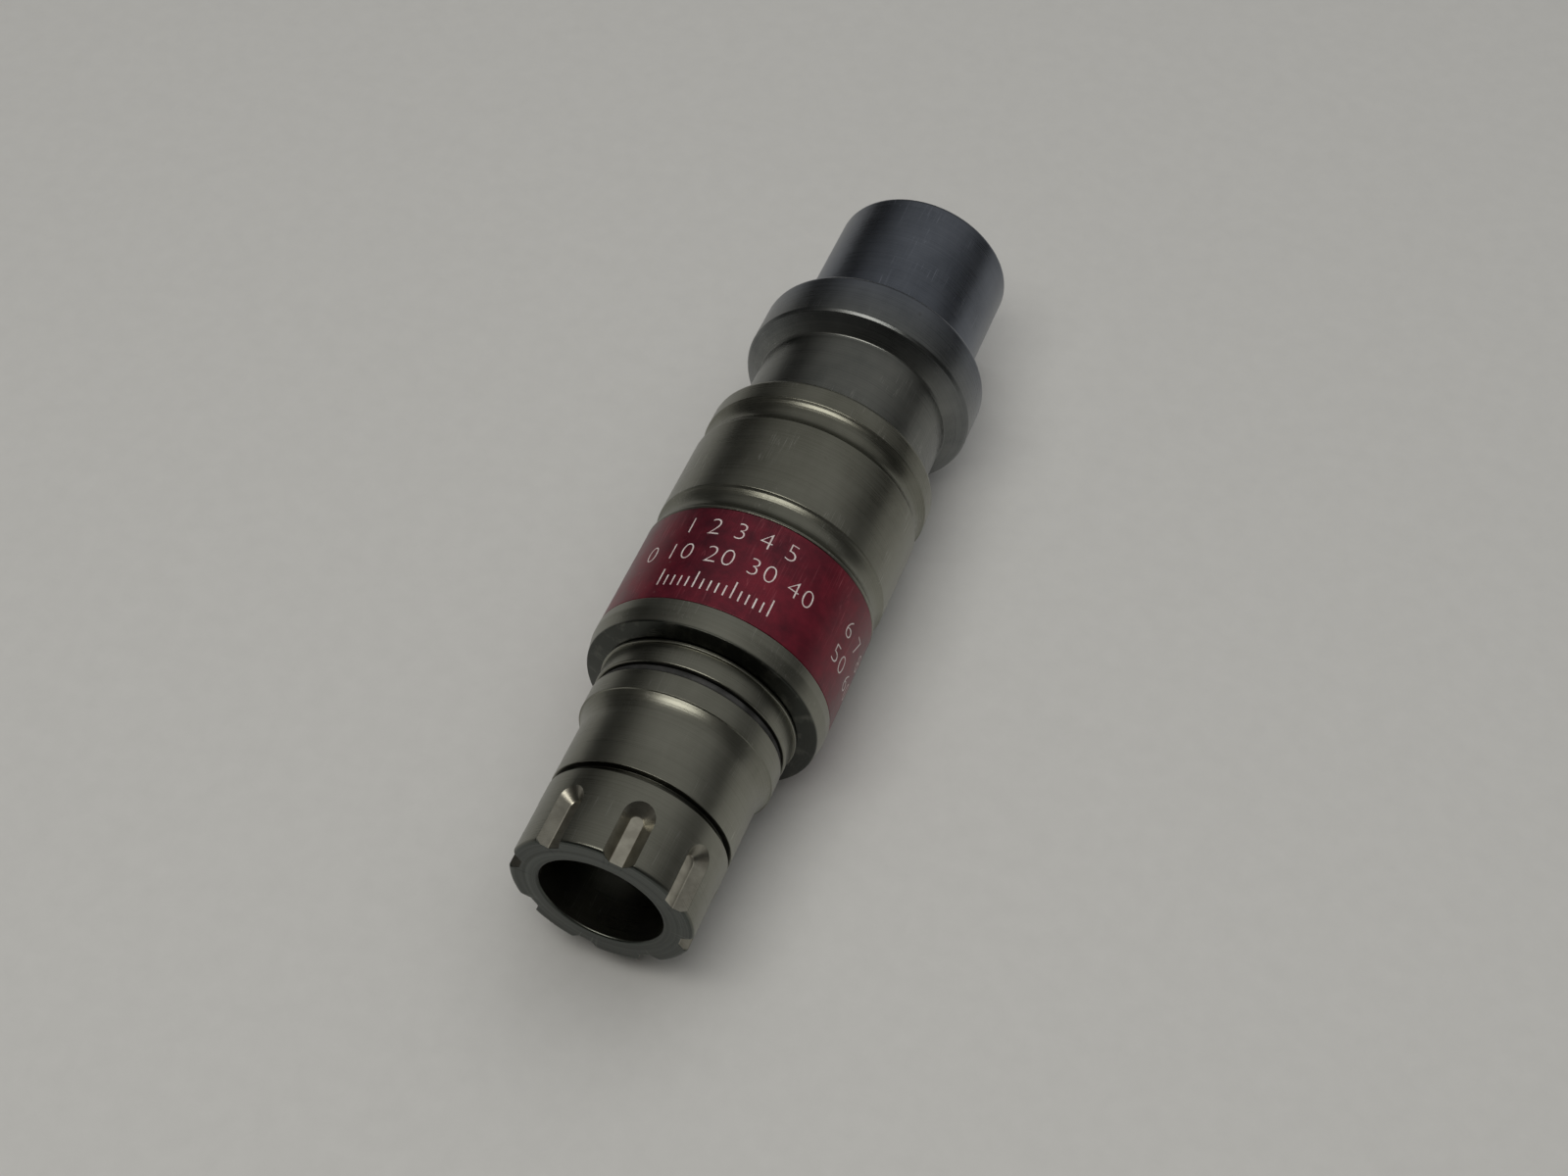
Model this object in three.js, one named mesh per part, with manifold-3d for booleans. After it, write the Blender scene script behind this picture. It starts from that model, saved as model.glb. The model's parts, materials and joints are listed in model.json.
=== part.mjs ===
// A geared quick-release shaft coupling: a slotted bayonet barrel takes the driver, a planetary
// gear set in the housing slows the rotation four to one, and a ball-lock chuck under the sliding
// sleeve takes the tool shaft.
//
// Millimetres, +Z up. The shaft axis is +Y: the driver end is at -Y and the chuck nose at +Y.
// Every station below is a distance from the input face along the shaft, and the whole group is
// shifted back by half the length, so the origin is the middle of the coupling on its shaft axis.

import * as THREE from 'three';
import { mergeVertices } from 'three/addons/utils/BufferGeometryUtils.js';
import Module from 'manifold-3d';

// ---------------------------------------------------------------- driving dimensions

const LENGTH = 114.4;
const BODY_RADIUS = 16;
const BARREL_RADIUS = 11.9;
const RING_RADIUS = 12.9;
const NOSE_RADIUS = 12.6;
const NECK_RADIUS = 13.6;
const FLANGE_RADIUS = 16.3;

const FIT = 0.1; // gap between fitted or running pieces
const HOLE_FIT = 0.15; // the same for the dowels of the ring gear
const EDGE = 0.3; // usual edge break
const OVER_RUN = 1; // how far a cutting tool reaches beyond the surface it opens

// Input barrel
const BARREL_BORE = 8;
const RIM_CHAMFER = 0.7;
const BORE_CHAMFER = 0.5;
const SLOT_COUNT = 8;
const SLOT_PHASE = THREE.MathUtils.degToRad(14.5); // first slot, from +Z towards +X
const SLOT_LENGTH = 8.2;
const SLOT_WIDTH = 4.3;
const SLOT_FLOOR_WIDTH = 1.6;
const SLOT_DEPTH = 1.5;
const LATCH_GROOVE = { start: 10.7, end: 11.8, radius: 11.0 };
const RING_FILLET_START = 19.6; // where the barrel starts to rise to the ring
const RING_FILLET_STEPS = 3;
const REAR_RING = { start: 22.3, end: 25.4 };
const ORING_GROOVE = { start: 25.4, end: 26.6, radius: 11.5 };
const HOUSING_FACE = 30.0; // inner edge of the housing's rear face
const BARREL_END = 36;
const PLUG_RADIUS = 12.6; // the part of the barrel, and the gears, inside the housing
const ORING_SECTION = 0.55;
const SHAFT_SEAL = { inner: 5.4, start: 21.2, end: 23.4 };

// Housing
const HOUSING = { lip: 30.6, taper: 32.6, end: 73.0 };
const LIP_RADIUS = 15.6;
const BAND = { start: 34.1, end: 49.4, depth: 0.5 };
const COVES = [{ start: 49.8, end: 53.6 }, { start: 65.7, end: 69.7 }];
const COVE_DEPTH = 0.85;
const COVE_STEPS = 4;
const GEAR_CHAMBER = { radius: PLUG_RADIUS + FIT, end: 51.0 };
const BEARING_STOP = { radius: 9.6, end: 51.4 };
const BEARING_SEAT_RADIUS = 10.5;
const MOUTH = { radius: 13.95, start: 67.7 };

// Gear set: involute teeth, 25 degree pressure angle
const MODULE_SIZE = 0.6;
const SUN_TEETH = 12;
const PLANET_TEETH = 12;
const RING_TEETH = SUN_TEETH + 2 * PLANET_TEETH;
const PLANET_COUNT = 3;
const PRESSURE_ANGLE = THREE.MathUtils.degToRad(25);
const ADDENDUM = 0.9 * MODULE_SIZE;
const DEDENDUM = 1.15 * MODULE_SIZE;
const RING_ADDENDUM = 0.8 * ADDENDUM;
const TOOTH_THINNING = 0.07; // taken off each tooth's thickness at the pitch circle
const GEAR_START = 37.4;
const GEAR_WIDTH = 8;
const GEAR_END = GEAR_START + GEAR_WIDTH;
const RING_OVERHANG = 0.3; // how far the ring gear reaches past the planets at each end
const CENTRE_DISTANCE = MODULE_SIZE * (SUN_TEETH + PLANET_TEETH) / 2;
const DOWEL = { radius: 0.9, inner: PLUG_RADIUS - 0.55, outer: BODY_RADIUS - BAND.depth - 0.15 };
const SHIM_INNER = 10.6;
const SPACER_INNER = 11.8;

// Input shaft: a hub with a hexagon socket, the bearing seat, and the spigot of the sun gear
const HUB = { start: 13, end: 20.2, radius: 6.9, chamfer: 0.6 };
const HEXAGON = { acrossFlats: 6.35, depth: 8 };
const SHAFT_NECK_RADIUS = 5.2;
const SUN_SPIGOT = { radius: 1.8, start: 33 };
const SUN_HUB = { radius: 3.3, start: 33.4 };
const SUN_PIN = { radius: 0.6, halfLength: 3.1, station: 35 };

// Planet pins, with a head on the driver's side, and their bushes
const PLANET_PIN = { radius: 1.2, headRadius: 2.1, headLength: 0.6 };
const BUSH_RADIUS = 1.75;

// Carrier and output spindle
const CARRIER = { start: 46.4, end: 50.4, radius: 11.5, bore: 3.2 };
const LIGHTENING_HOLE = { radius: 2.2, centre: CENTRE_DISTANCE + 0.6 };
const SCREW = { radius: 1.5, headRadius: 2.7, headStart: 46.0, headEnd: 47.4, reach: 7 };
const SCREW_KEY = { radius: 1.15, depth: 1 };
const SCREW_HOLE_REACH = 9;
const SPIGOT = { radius: 4.2, flat: 3.3, start: 48.3 };
const JOURNAL = { radius: 6, start: 50.8, end: 65.4 };
const SPINDLE_RADIUS = 8;
const SPRING_COLLAR = { radius: 11.2, start: 70.6, end: 72.6 };
const SPINDLE_END = 113.6;
const SOCKET = { radius: 4.75, start: 93 };
const SOCKET_CHAMFER = 0.5;
const DRILL_POINT = 1.5;
const SQUARE_DRIVE = { width: 6.4, start: 85 };

// Bearings: bore and outside radius, ball radius, ball count, start and width
const INPUT_BEARING = { bore: 4, outer: 9.4, ball: 1.5, balls: 7, start: 24.0, width: 6 };
const REAR_BEARING = { bore: 6, outer: 10.5, ball: 1.2, balls: 9, start: 51.5, width: 5 };
const FRONT_BEARING = { bore: 6, outer: 10.5, ball: 1.2, balls: 9, start: 60.0, width: 5 };
const RACE_LAND = 0.55; // from the pitch circle to a race, as a part of the ball radius
const RACEWAY_REACH = 55; // degrees that a raceway's arc covers to each side
const BALL_PLAY = 0.15; // how far a raceway clears its balls
const SPACER_WALL = { outer: 1, inner: 1.2 }; // between the outer and the inner races
const CAGE = { clearance: 0.25, halfWidth: 0.7 };

// Retaining rings: start, thickness, groove depth, free edge radius, gap width and gap angle
const BARREL_CLIP = { start: 30.2, thickness: 1, depth: 0.6, edge: 8.3, gap: 4, angle: 0 };
const SHAFT_CLIP = { start: 30.4, thickness: 0.9, depth: 0.5, edge: 5.4, gap: 2.4, angle: Math.PI };
const FRONT_CLIP = { start: 65.3, thickness: 0.9, depth: 0.6, edge: 9.3, gap: 4, angle: Math.PI };
const NOSE_CLIP = { start: 111.9, thickness: 0.9, depth: 0.7, edge: 10.1, gap: 4, angle: 0.6 };
const FRONT_SEAL = { start: 66.5, end: MOUTH.start - FIT };

// Sleeve, lock and spring
const SLEEVE_START = 72.0;
const FLANGE = { neckEnd: 84.0, start: 86.4, end: 93.4 };
const SLEEVE_TRAVEL = 4;
const SKIRT_BORE = 11.7;
const SPRING_SHOULDER = 91.4;
const SLIDE_BORE = SPINDLE_RADIUS + 2 * FIT;
const CAM = { start: 101.3, ramp: 103.4, end: 110.9, radius: 10.6, relief: 9.4 };
const LOCK_BALL = { radius: 2.2, station: 104, count: 3, centre: 5.9, lift: 1.05 };
const BALL_HOLE = { radius: 2.3, throat: 1.95, taper: 0.6 };
const SPRING = { wire: 0.65, coilRadius: 9.85, turns: 5 };
const SPRING_SEAT = { outer: 11.1, thickness: 0.8 };
const KEY_PIN = { radius: 1.2, station: 95.2, inner: 5.3, outer: 9.5 };

// ---------------------------------------------------------------- materials

const STEEL = { color: 0x7b7f76, roughness: 0.32, metalness: 1 };
const DARK_STEEL = { color: 0x565a63, roughness: 0.28, metalness: 1 };
const BRIGHT_STEEL = { color: 0xa9abaa, roughness: 0.18, metalness: 1 };
const HARDENED_STEEL = { color: 0x8b8d90, roughness: 0.25, metalness: 1 };
const SPRING_STEEL = { color: 0x70736f, roughness: 0.3, metalness: 1 };
const BRONZE = { color: 0xa6763c, roughness: 0.4, metalness: 1 };
const BLACK_RUBBER = { color: 0x161616, roughness: 0.75, metalness: 0 };
const CAGE_BRASS = { color: 0xb08a45, roughness: 0.35, metalness: 1 };
const RED_ENAMEL = { color: 0x7c1524, roughness: 0.4, metalness: 0.3 };

// ---------------------------------------------------------------- solids and booleans

const wasm = await Module();
wasm.setup();

const FINE = 32; // sides of the outer turned pieces
const MEDIUM = 22; // sides of the inner ones
const COARSE = 12; // sides of pins and bushes
const DOWEL_SIDES = 16;
const SLOT_END_SIDES = 24;
const HEXAGON_SIDES = 6;
const WIRE_SIDES = 6;
const CAGED_BALL_FACETS = [8, 4]; // around and from pole to pole
const LOCK_BALL_FACETS = [12, 7];

function solidOf(geometry) {
  const bare = new THREE.BufferGeometry();
  bare.setAttribute('position', geometry.getAttribute('position'));
  bare.setIndex(geometry.index);
  const merged = mergeVertices(bare, 1e-3);
  return new wasm.Manifold(new wasm.Mesh({
    numProp: 3,
    vertProperties: merged.attributes.position.array,
    triVerts: new Uint32Array(merged.index.array),
  }));
}

function geometryOf(solid) {
  const mesh = solid.getMesh();
  const geometry = new THREE.BufferGeometry();
  geometry.setAttribute('position', new THREE.BufferAttribute(mesh.vertProperties, 3));
  geometry.setIndex(new THREE.BufferAttribute(mesh.triVerts, 1));
  return geometry;
}

function cut(geometry, tools) {
  let solid = solidOf(geometry);
  for (const tool of tools) {
    solid = solid.subtract(solidOf(tool));
  }
  return geometryOf(solid);
}

function join(geometry, others) {
  let solid = solidOf(geometry);
  for (const other of others) {
    solid = solid.add(solidOf(other));
  }
  return geometryOf(solid);
}

// A turned piece: the closed outline of [radius, station] corners, revolved about the shaft axis.
// The outline runs along the outside towards the nose and comes back along the bore.
function turned(outline, sides = MEDIUM) {
  const corners = outline.map(([radius, station]) => new THREE.Vector2(radius, station));
  corners.push(corners[0].clone());
  return new THREE.LatheGeometry(corners, sides);
}

function ring(inner, outer, start, end, sides = MEDIUM) {
  return turned([[inner, start], [outer, start], [outer, end], [inner, end]], sides);
}

// A cylinder between two points, for pins and drilled holes.
function rod(from, to, radius, sides = COARSE) {
  const span = new THREE.Vector3().subVectors(to, from);
  const geometry = new THREE.CylinderGeometry(radius, radius, span.length(), sides);
  const turn = new THREE.Quaternion().setFromUnitVectors(new THREE.Vector3(0, 1, 0), span.normalize());
  geometry.applyQuaternion(turn);
  geometry.translate((from.x + to.x) / 2, (from.y + to.y) / 2, (from.z + to.z) / 2);
  return geometry;
}

// The point at a radius and a station, at an angle measured from +Z towards +X.
function polar(radius, station, angle) {
  return new THREE.Vector3(radius * Math.sin(angle), station, radius * Math.cos(angle));
}

function block(width, length, height, centre) {
  const geometry = new THREE.BoxGeometry(width, length, height);
  geometry.translate(centre.x, centre.y, centre.z);
  return geometry;
}

// Points of a concave circular dip in the body's outline.
function fingerCove({ start, end }) {
  const half = (end - start) / 2;
  const arcRadius = (half * half + COVE_DEPTH * COVE_DEPTH) / (2 * COVE_DEPTH);
  const points = [];
  for (let step = 0; step <= COVE_STEPS; step += 1) {
    const along = -half + (2 * half * step) / COVE_STEPS;
    const fall = Math.sqrt(arcRadius * arcRadius - along * along) - (arcRadius - COVE_DEPTH);
    points.push([BODY_RADIUS - fall, start + half + along]);
  }
  return points;
}

// The geometries that "make" gives for each index below a count.
function repeated(count, make) {
  return Array.from({ length: count }, (_, index) => make(index));
}

// ---------------------------------------------------------------- gears

// Half the angle that a tooth covers at a radius, on the involute of its base circle.
function toothHalfAngle(radius, pitchRadius, teeth, thinning) {
  const baseRadius = pitchRadius * Math.cos(PRESSURE_ANGLE);
  const involute = (angle) => Math.tan(angle) - angle;
  const local = Math.acos(Math.min(1, baseRadius / Math.max(radius, baseRadius)));
  const atPitch = Math.PI / (2 * teeth) - thinning / (2 * pitchRadius);
  return atPitch + involute(PRESSURE_ANGLE) - involute(local);
}

// The outline of a spur gear, with one tooth centred on the angle "phase" from +Z towards +X.
// An internal gear's outline is that of a spur gear with thick teeth, whose gaps are its own teeth.
function gearOutline(teeth, tipRadius, rootRadius, phase, thinning, flankSteps = 2) {
  const pitchRadius = MODULE_SIZE * teeth / 2;
  const baseRadius = pitchRadius * Math.cos(PRESSURE_ANGLE);
  const flankStart = Math.max(rootRadius, baseRadius);
  const radii = rootRadius < baseRadius ? [rootRadius] : [];
  for (let step = 0; step <= flankSteps; step += 1) {
    radii.push(flankStart + (tipRadius - flankStart) * step / flankSteps);
  }
  const points = [];
  for (let tooth = 0; tooth < teeth; tooth += 1) {
    const centre = phase + 2 * Math.PI * tooth / teeth;
    const half = (radius) => toothHalfAngle(radius, pitchRadius, teeth, thinning);
    for (const radius of radii) {
      points.push(outlinePoint(radius, centre - half(radius)));
    }
    for (const radius of [...radii].reverse()) {
      points.push(outlinePoint(radius, centre + half(radius)));
    }
  }
  return points;
}

// An outline is drawn in the plane of Z (first axis) and X (second axis).
function outlinePoint(radius, angle) {
  return new THREE.Vector2(radius * Math.cos(angle), radius * Math.sin(angle));
}

function circleOutline(radius, sides) {
  const points = [];
  for (let side = 0; side < sides; side += 1) {
    points.push(outlinePoint(radius, 2 * Math.PI * side / sides));
  }
  return points;
}

// Extrudes an outline, drawn in Z and X, along the shaft axis from one station to another.
function prism(outline, holes, start, end) {
  const shape = new THREE.Shape(outline);
  for (const hole of holes) {
    shape.holes.push(new THREE.Path(hole));
  }
  const geometry = new THREE.ExtrudeGeometry(shape, { depth: end - start, bevelEnabled: false });
  const axes = new THREE.Matrix4().makeBasis(
    new THREE.Vector3(0, 0, 1),
    new THREE.Vector3(1, 0, 0),
    new THREE.Vector3(0, 1, 0),
  );
  geometry.applyMatrix4(axes);
  geometry.translate(0, start, 0);
  return geometry;
}

function spurGear(teeth, boreRadius, phase) {
  const pitchRadius = MODULE_SIZE * teeth / 2;
  const outline = gearOutline(
    teeth, pitchRadius + ADDENDUM, pitchRadius - DEDENDUM, phase, TOOTH_THINNING,
  );
  const bore = circleOutline(boreRadius, COARSE);
  return prism(outline, [bore], GEAR_START, GEAR_END);
}

function makeRingGear() {
  const pitchRadius = MODULE_SIZE * RING_TEETH / 2;
  const gapPhase = Math.PI / RING_TEETH; // a tooth, not a gap, points at +Z
  const gaps = gearOutline(
    RING_TEETH, pitchRadius + DEDENDUM, pitchRadius - RING_ADDENDUM, gapPhase, -TOOTH_THINNING, 1,
  );
  const rim = circleOutline(PLUG_RADIUS, FINE);
  const blank = prism(rim, [gaps], GEAR_START - RING_OVERHANG, GEAR_END + RING_OVERHANG);
  return cut(blank, dowelHoles());
}

// ---------------------------------------------------------------- bearings

function bearingRadii(bearing) {
  const pitch = (bearing.bore + bearing.outer) / 2;
  const land = RACE_LAND * bearing.ball;
  return { pitch, innerLand: pitch - land, outerLand: pitch + land };
}

// A groove for the balls, as the points of an arc that clears them by the fit.
function raceway(bearing, side) {
  const { pitch } = bearingRadii(bearing);
  const centre = bearing.start + bearing.width / 2;
  const grooveRadius = bearing.ball + BALL_PLAY;
  const points = [];
  for (const angle of [-RACEWAY_REACH, 0, RACEWAY_REACH].map(THREE.MathUtils.degToRad)) {
    const radius = pitch + side * grooveRadius * Math.cos(angle);
    points.push([radius, centre + grooveRadius * Math.sin(angle)]);
  }
  return points;
}

function innerRace(bearing) {
  const { innerLand } = bearingRadii(bearing);
  const end = bearing.start + bearing.width;
  const bore = bearing.bore + FIT;
  return turned([
    [bore, bearing.start], [innerLand, bearing.start],
    ...raceway(bearing, -1),
    [innerLand, end], [bore, end],
  ]);
}

function outerRace(bearing) {
  const { outerLand } = bearingRadii(bearing);
  const end = bearing.start + bearing.width;
  const outer = bearing.outer - FIT;
  return turned([
    [outerLand, bearing.start], [outer, bearing.start],
    [outer, end], [outerLand, end],
    ...raceway(bearing, 1).reverse(),
  ]);
}

// The balls of a bearing, held by the thin band of their cage.
function cagedBalls(bearing) {
  const { pitch, innerLand, outerLand } = bearingRadii(bearing);
  const centre = bearing.start + bearing.width / 2;
  const band = ring(
    innerLand + CAGE.clearance, outerLand - CAGE.clearance,
    centre - CAGE.halfWidth, centre + CAGE.halfWidth,
  );
  const balls = repeated(bearing.balls, (index) => {
    const place = polar(pitch, centre, 2 * Math.PI * index / bearing.balls);
    const ball = new THREE.SphereGeometry(bearing.ball, ...CAGED_BALL_FACETS);
    return ball.translate(place.x, place.y, place.z);
  });
  return join(band, balls);
}

// ---------------------------------------------------------------- retaining rings

// A ring's groove in an outline: "side" is 1 for a groove in a bore and -1 for one on a shaft.
function clipGroove(clip, surface, side) {
  const floor = surface + side * clip.depth;
  const start = clip.start - FIT;
  const end = clip.start + clip.thickness + FIT;
  return [[surface, start], [floor, start], [floor, end], [surface, end]];
}

// A snap ring seated in its groove, with a gap wide enough to squeeze or spread it.
function snapRing(clip, surface, side) {
  const seated = surface + side * (clip.depth - FIT);
  const inner = Math.min(seated, clip.edge);
  const outer = Math.max(seated, clip.edge);
  const end = clip.start + clip.thickness;
  const middle = new THREE.Vector3(0, (clip.start + end) / 2, (inner + outer) / 2);
  const gap = block(clip.gap, 2 * clip.thickness, outer, middle);
  gap.rotateY(clip.angle);
  return cut(ring(inner, outer, clip.start, end), [gap]);
}

// ---------------------------------------------------------------- input barrel

// A bayonet slot: tapered side walls, a flat floor, open at the rim and round at its inner end.
function bayonetSlot(index) {
  const wallSlope = (SLOT_WIDTH - SLOT_FLOOR_WIDTH) / (2 * SLOT_DEPTH);
  const outerHalf = SLOT_WIDTH / 2 + wallSlope * OVER_RUN;
  const floorHalf = SLOT_FLOOR_WIDTH / 2;
  const height = SLOT_DEPTH + OVER_RUN;
  const straightEnd = SLOT_LENGTH - SLOT_WIDTH / 2;
  const trough = new THREE.Shape([
    new THREE.Vector2(-floorHalf, 0), new THREE.Vector2(floorHalf, 0),
    new THREE.Vector2(outerHalf, height), new THREE.Vector2(-outerHalf, height),
  ]);
  const depth = straightEnd + OVER_RUN;
  const channel = new THREE.ExtrudeGeometry(trough, { depth, bevelEnabled: false });
  channel.applyMatrix4(new THREE.Matrix4().makeBasis(
    new THREE.Vector3(-1, 0, 0), new THREE.Vector3(0, 0, 1), new THREE.Vector3(0, 1, 0),
  ));
  channel.translate(0, -OVER_RUN, 0);
  const endCone = new THREE.CylinderGeometry(outerHalf, floorHalf, height, SLOT_END_SIDES);
  endCone.rotateX(Math.PI / 2);
  endCone.translate(0, straightEnd, height / 2);
  const slot = join(channel, [endCone]);
  slot.translate(0, 0, BARREL_RADIUS - SLOT_DEPTH);
  slot.rotateY(SLOT_PHASE + 2 * Math.PI * index / SLOT_COUNT);
  return slot;
}

// Points of the concave fillet that lifts the barrel's surface up to the rear ring.
function ringFillet() {
  const rise = RING_RADIUS - BARREL_RADIUS;
  const length = REAR_RING.start - RING_FILLET_START;
  const arcRadius = (length * length + rise * rise) / (2 * rise);
  return repeated(RING_FILLET_STEPS + 1, (step) => {
    const along = length * step / RING_FILLET_STEPS;
    const lift = arcRadius - Math.sqrt(arcRadius * arcRadius - along * along);
    return [BARREL_RADIUS + lift, RING_FILLET_START + along];
  });
}

function makeBarrel() {
  const seat = INPUT_BEARING.start - FIT;
  const grooveSlope = 0.1;
  const blank = turned([
    [BARREL_BORE + BORE_CHAMFER, 0], [BARREL_RADIUS - RIM_CHAMFER, 0], [BARREL_RADIUS, RIM_CHAMFER],
    [BARREL_RADIUS, LATCH_GROOVE.start], [LATCH_GROOVE.radius, LATCH_GROOVE.start + grooveSlope],
    [LATCH_GROOVE.radius, LATCH_GROOVE.end - grooveSlope], [BARREL_RADIUS, LATCH_GROOVE.end],
    ...ringFillet(), [RING_RADIUS, REAR_RING.end], [ORING_GROOVE.radius, ORING_GROOVE.start],
    [ORING_GROOVE.radius, ORING_GROOVE.end], [RING_RADIUS, ORING_GROOVE.end],
    [RING_RADIUS, HOUSING_FACE - FIT], [PLUG_RADIUS, HOUSING_FACE - FIT],
    [PLUG_RADIUS, BARREL_END - RIM_CHAMFER], [PLUG_RADIUS - RIM_CHAMFER, BARREL_END],
    [INPUT_BEARING.outer, BARREL_END],
    ...clipGroove(BARREL_CLIP, INPUT_BEARING.outer, 1).reverse(),
    [INPUT_BEARING.outer, seat], [BARREL_BORE, seat], [BARREL_BORE, BORE_CHAMFER],
  ], FINE);
  return cut(blank, repeated(SLOT_COUNT, bayonetSlot));
}

function makeBarrelOring() {
  const station = (ORING_GROOVE.start + ORING_GROOVE.end) / 2;
  const middle = ORING_GROOVE.radius + ORING_SECTION + FIT / 2;
  const corners = 6;
  const outline = repeated(corners, (corner) => {
    const angle = 2 * Math.PI * (corner + 0.5) / corners;
    return [middle + ORING_SECTION * Math.cos(angle), station + ORING_SECTION * Math.sin(angle)];
  });
  return turned(outline, FINE);
}

// ---------------------------------------------------------------- housing

function makeHousing() {
  const bandFloor = BODY_RADIUS - BAND.depth;
  const blank = turned([
    [GEAR_CHAMBER.radius, HOUSING_FACE], [LIP_RADIUS - EDGE, HOUSING.lip],
    [LIP_RADIUS, HOUSING.lip + EDGE], [BODY_RADIUS, HOUSING.taper], [BODY_RADIUS, BAND.start],
    [bandFloor, BAND.start], [bandFloor, BAND.end], [BODY_RADIUS, BAND.end],
    ...COVES.flatMap(fingerCove),
    [BODY_RADIUS, HOUSING.end - EDGE], [BODY_RADIUS - EDGE, HOUSING.end],
    [MOUTH.radius, HOUSING.end], [MOUTH.radius, MOUTH.start], [BEARING_SEAT_RADIUS, MOUTH.start],
    ...clipGroove(FRONT_CLIP, BEARING_SEAT_RADIUS, 1).reverse(),
    [BEARING_SEAT_RADIUS, BEARING_STOP.end], [BEARING_STOP.radius, BEARING_STOP.end],
    [BEARING_STOP.radius, GEAR_CHAMBER.end], [GEAR_CHAMBER.radius, GEAR_CHAMBER.end],
  ], FINE);
  return cut(blank, dowelHoles());
}

// The two dowels that key the ring gear to the housing, under the band.
function dowelAngles() {
  return [Math.PI / 2, -Math.PI / 2];
}

function dowel(angle, clearance, overRun) {
  const station = GEAR_START + GEAR_WIDTH / 2;
  const inner = polar(DOWEL.inner - clearance, station, angle);
  const outer = polar(DOWEL.outer + overRun, station, angle);
  return rod(inner, outer, DOWEL.radius + clearance, DOWEL_SIDES);
}

function dowelHoles() {
  return dowelAngles().map((angle) => dowel(angle, HOLE_FIT, OVER_RUN));
}

// The band fills its recess, a hair below the body's surface.
function makeColourBand() {
  const gap = FIT / 2;
  const inner = BODY_RADIUS - BAND.depth + gap;
  return ring(inner, BODY_RADIUS - gap / 2, BAND.start + gap, BAND.end - gap, FINE);
}

// ---------------------------------------------------------------- input shaft

function makeInputShaft() {
  const shoulder = INPUT_BEARING.start - FIT;
  const blank = turned([
    [0, HUB.start], [HUB.radius - HUB.chamfer, HUB.start], [HUB.radius, HUB.start + HUB.chamfer],
    [HUB.radius, HUB.end], [SHAFT_NECK_RADIUS, HUB.end], [SHAFT_NECK_RADIUS, shoulder],
    [INPUT_BEARING.bore, shoulder], ...clipGroove(SHAFT_CLIP, INPUT_BEARING.bore, -1),
    [INPUT_BEARING.bore, SUN_SPIGOT.start], [SUN_SPIGOT.radius, SUN_SPIGOT.start],
    [SUN_SPIGOT.radius, GEAR_END], [0, GEAR_END],
  ]);
  const hexagon = circleOutline(HEXAGON.acrossFlats / (2 * Math.cos(Math.PI / 6)), HEXAGON_SIDES);
  const socket = prism(hexagon, [], HUB.start - OVER_RUN, HUB.start + HEXAGON.depth);
  return cut(blank, [socket, sunPin(FIT, OVER_RUN)]);
}

// The cross pin through the sun gear's hub and the shaft's spigot.
function sunPin(clearance, overRun) {
  const end = new THREE.Vector3(SUN_PIN.halfLength + overRun, SUN_PIN.station, 0);
  const start = new THREE.Vector3(-end.x, end.y, end.z);
  return rod(start, end, SUN_PIN.radius + clearance);
}

function makeSunGear() {
  const bore = SUN_SPIGOT.radius + FIT;
  const hubEnd = GEAR_START + 0.01; // a shared sliver, so that hub and teeth are one body
  const hub = ring(bore, SUN_HUB.radius, SUN_HUB.start, hubEnd, COARSE);
  return cut(join(spurGear(SUN_TEETH, bore, 0), [hub]), [sunPin(FIT, OVER_RUN)]);
}

// ---------------------------------------------------------------- planets and carrier

function planetAngle(index) {
  return 2 * Math.PI * index / PLANET_COUNT;
}

function placeAtPlanet(geometry, index) {
  const place = polar(CENTRE_DISTANCE, 0, planetAngle(index));
  geometry.translate(place.x, place.y, place.z);
  return geometry;
}

function makePlanet(index) {
  const halfPitch = Math.PI / PLANET_TEETH; // a gap, not a tooth, faces the sun gear's tooth
  const gear = spurGear(PLANET_TEETH, BUSH_RADIUS + FIT, planetAngle(index) + halfPitch);
  return placeAtPlanet(gear, index);
}

function makePlanetBush(index) {
  const bush = ring(PLANET_PIN.radius + FIT, BUSH_RADIUS, GEAR_START, GEAR_END, COARSE);
  return placeAtPlanet(bush, index);
}

function makePlanetPin(index) {
  const { radius, headRadius, headLength } = PLANET_PIN;
  const headEnd = GEAR_START - RING_OVERHANG;
  const headStart = headEnd - headLength;
  const end = CARRIER.end - 2 * FIT;
  const pin = turned([
    [0, headStart], [headRadius, headStart], [headRadius, headEnd], [radius, headEnd],
    [radius, end], [0, end],
  ], COARSE);
  return placeAtPlanet(pin, index);
}

// A circle with a flat on each side, for the carrier's drive.
function doubleFlatOutline(radius, flat) {
  const span = Math.PI / 2 - Math.acos(flat / radius);
  const half = 4; // points to each side of an arc's middle
  const points = [];
  for (const middle of [Math.PI / 2, -Math.PI / 2]) {
    for (let step = -half; step <= half; step += 1) {
      points.push(outlinePoint(radius, middle + span * step / half));
    }
  }
  return points;
}

// A round hole through the carrier at a radius and an angle.
function carrierHole(centreRadius, angle, radius) {
  const start = polar(centreRadius, CARRIER.start - OVER_RUN, angle);
  const end = polar(centreRadius, CARRIER.end + OVER_RUN, angle);
  return rod(start, end, radius);
}

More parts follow.
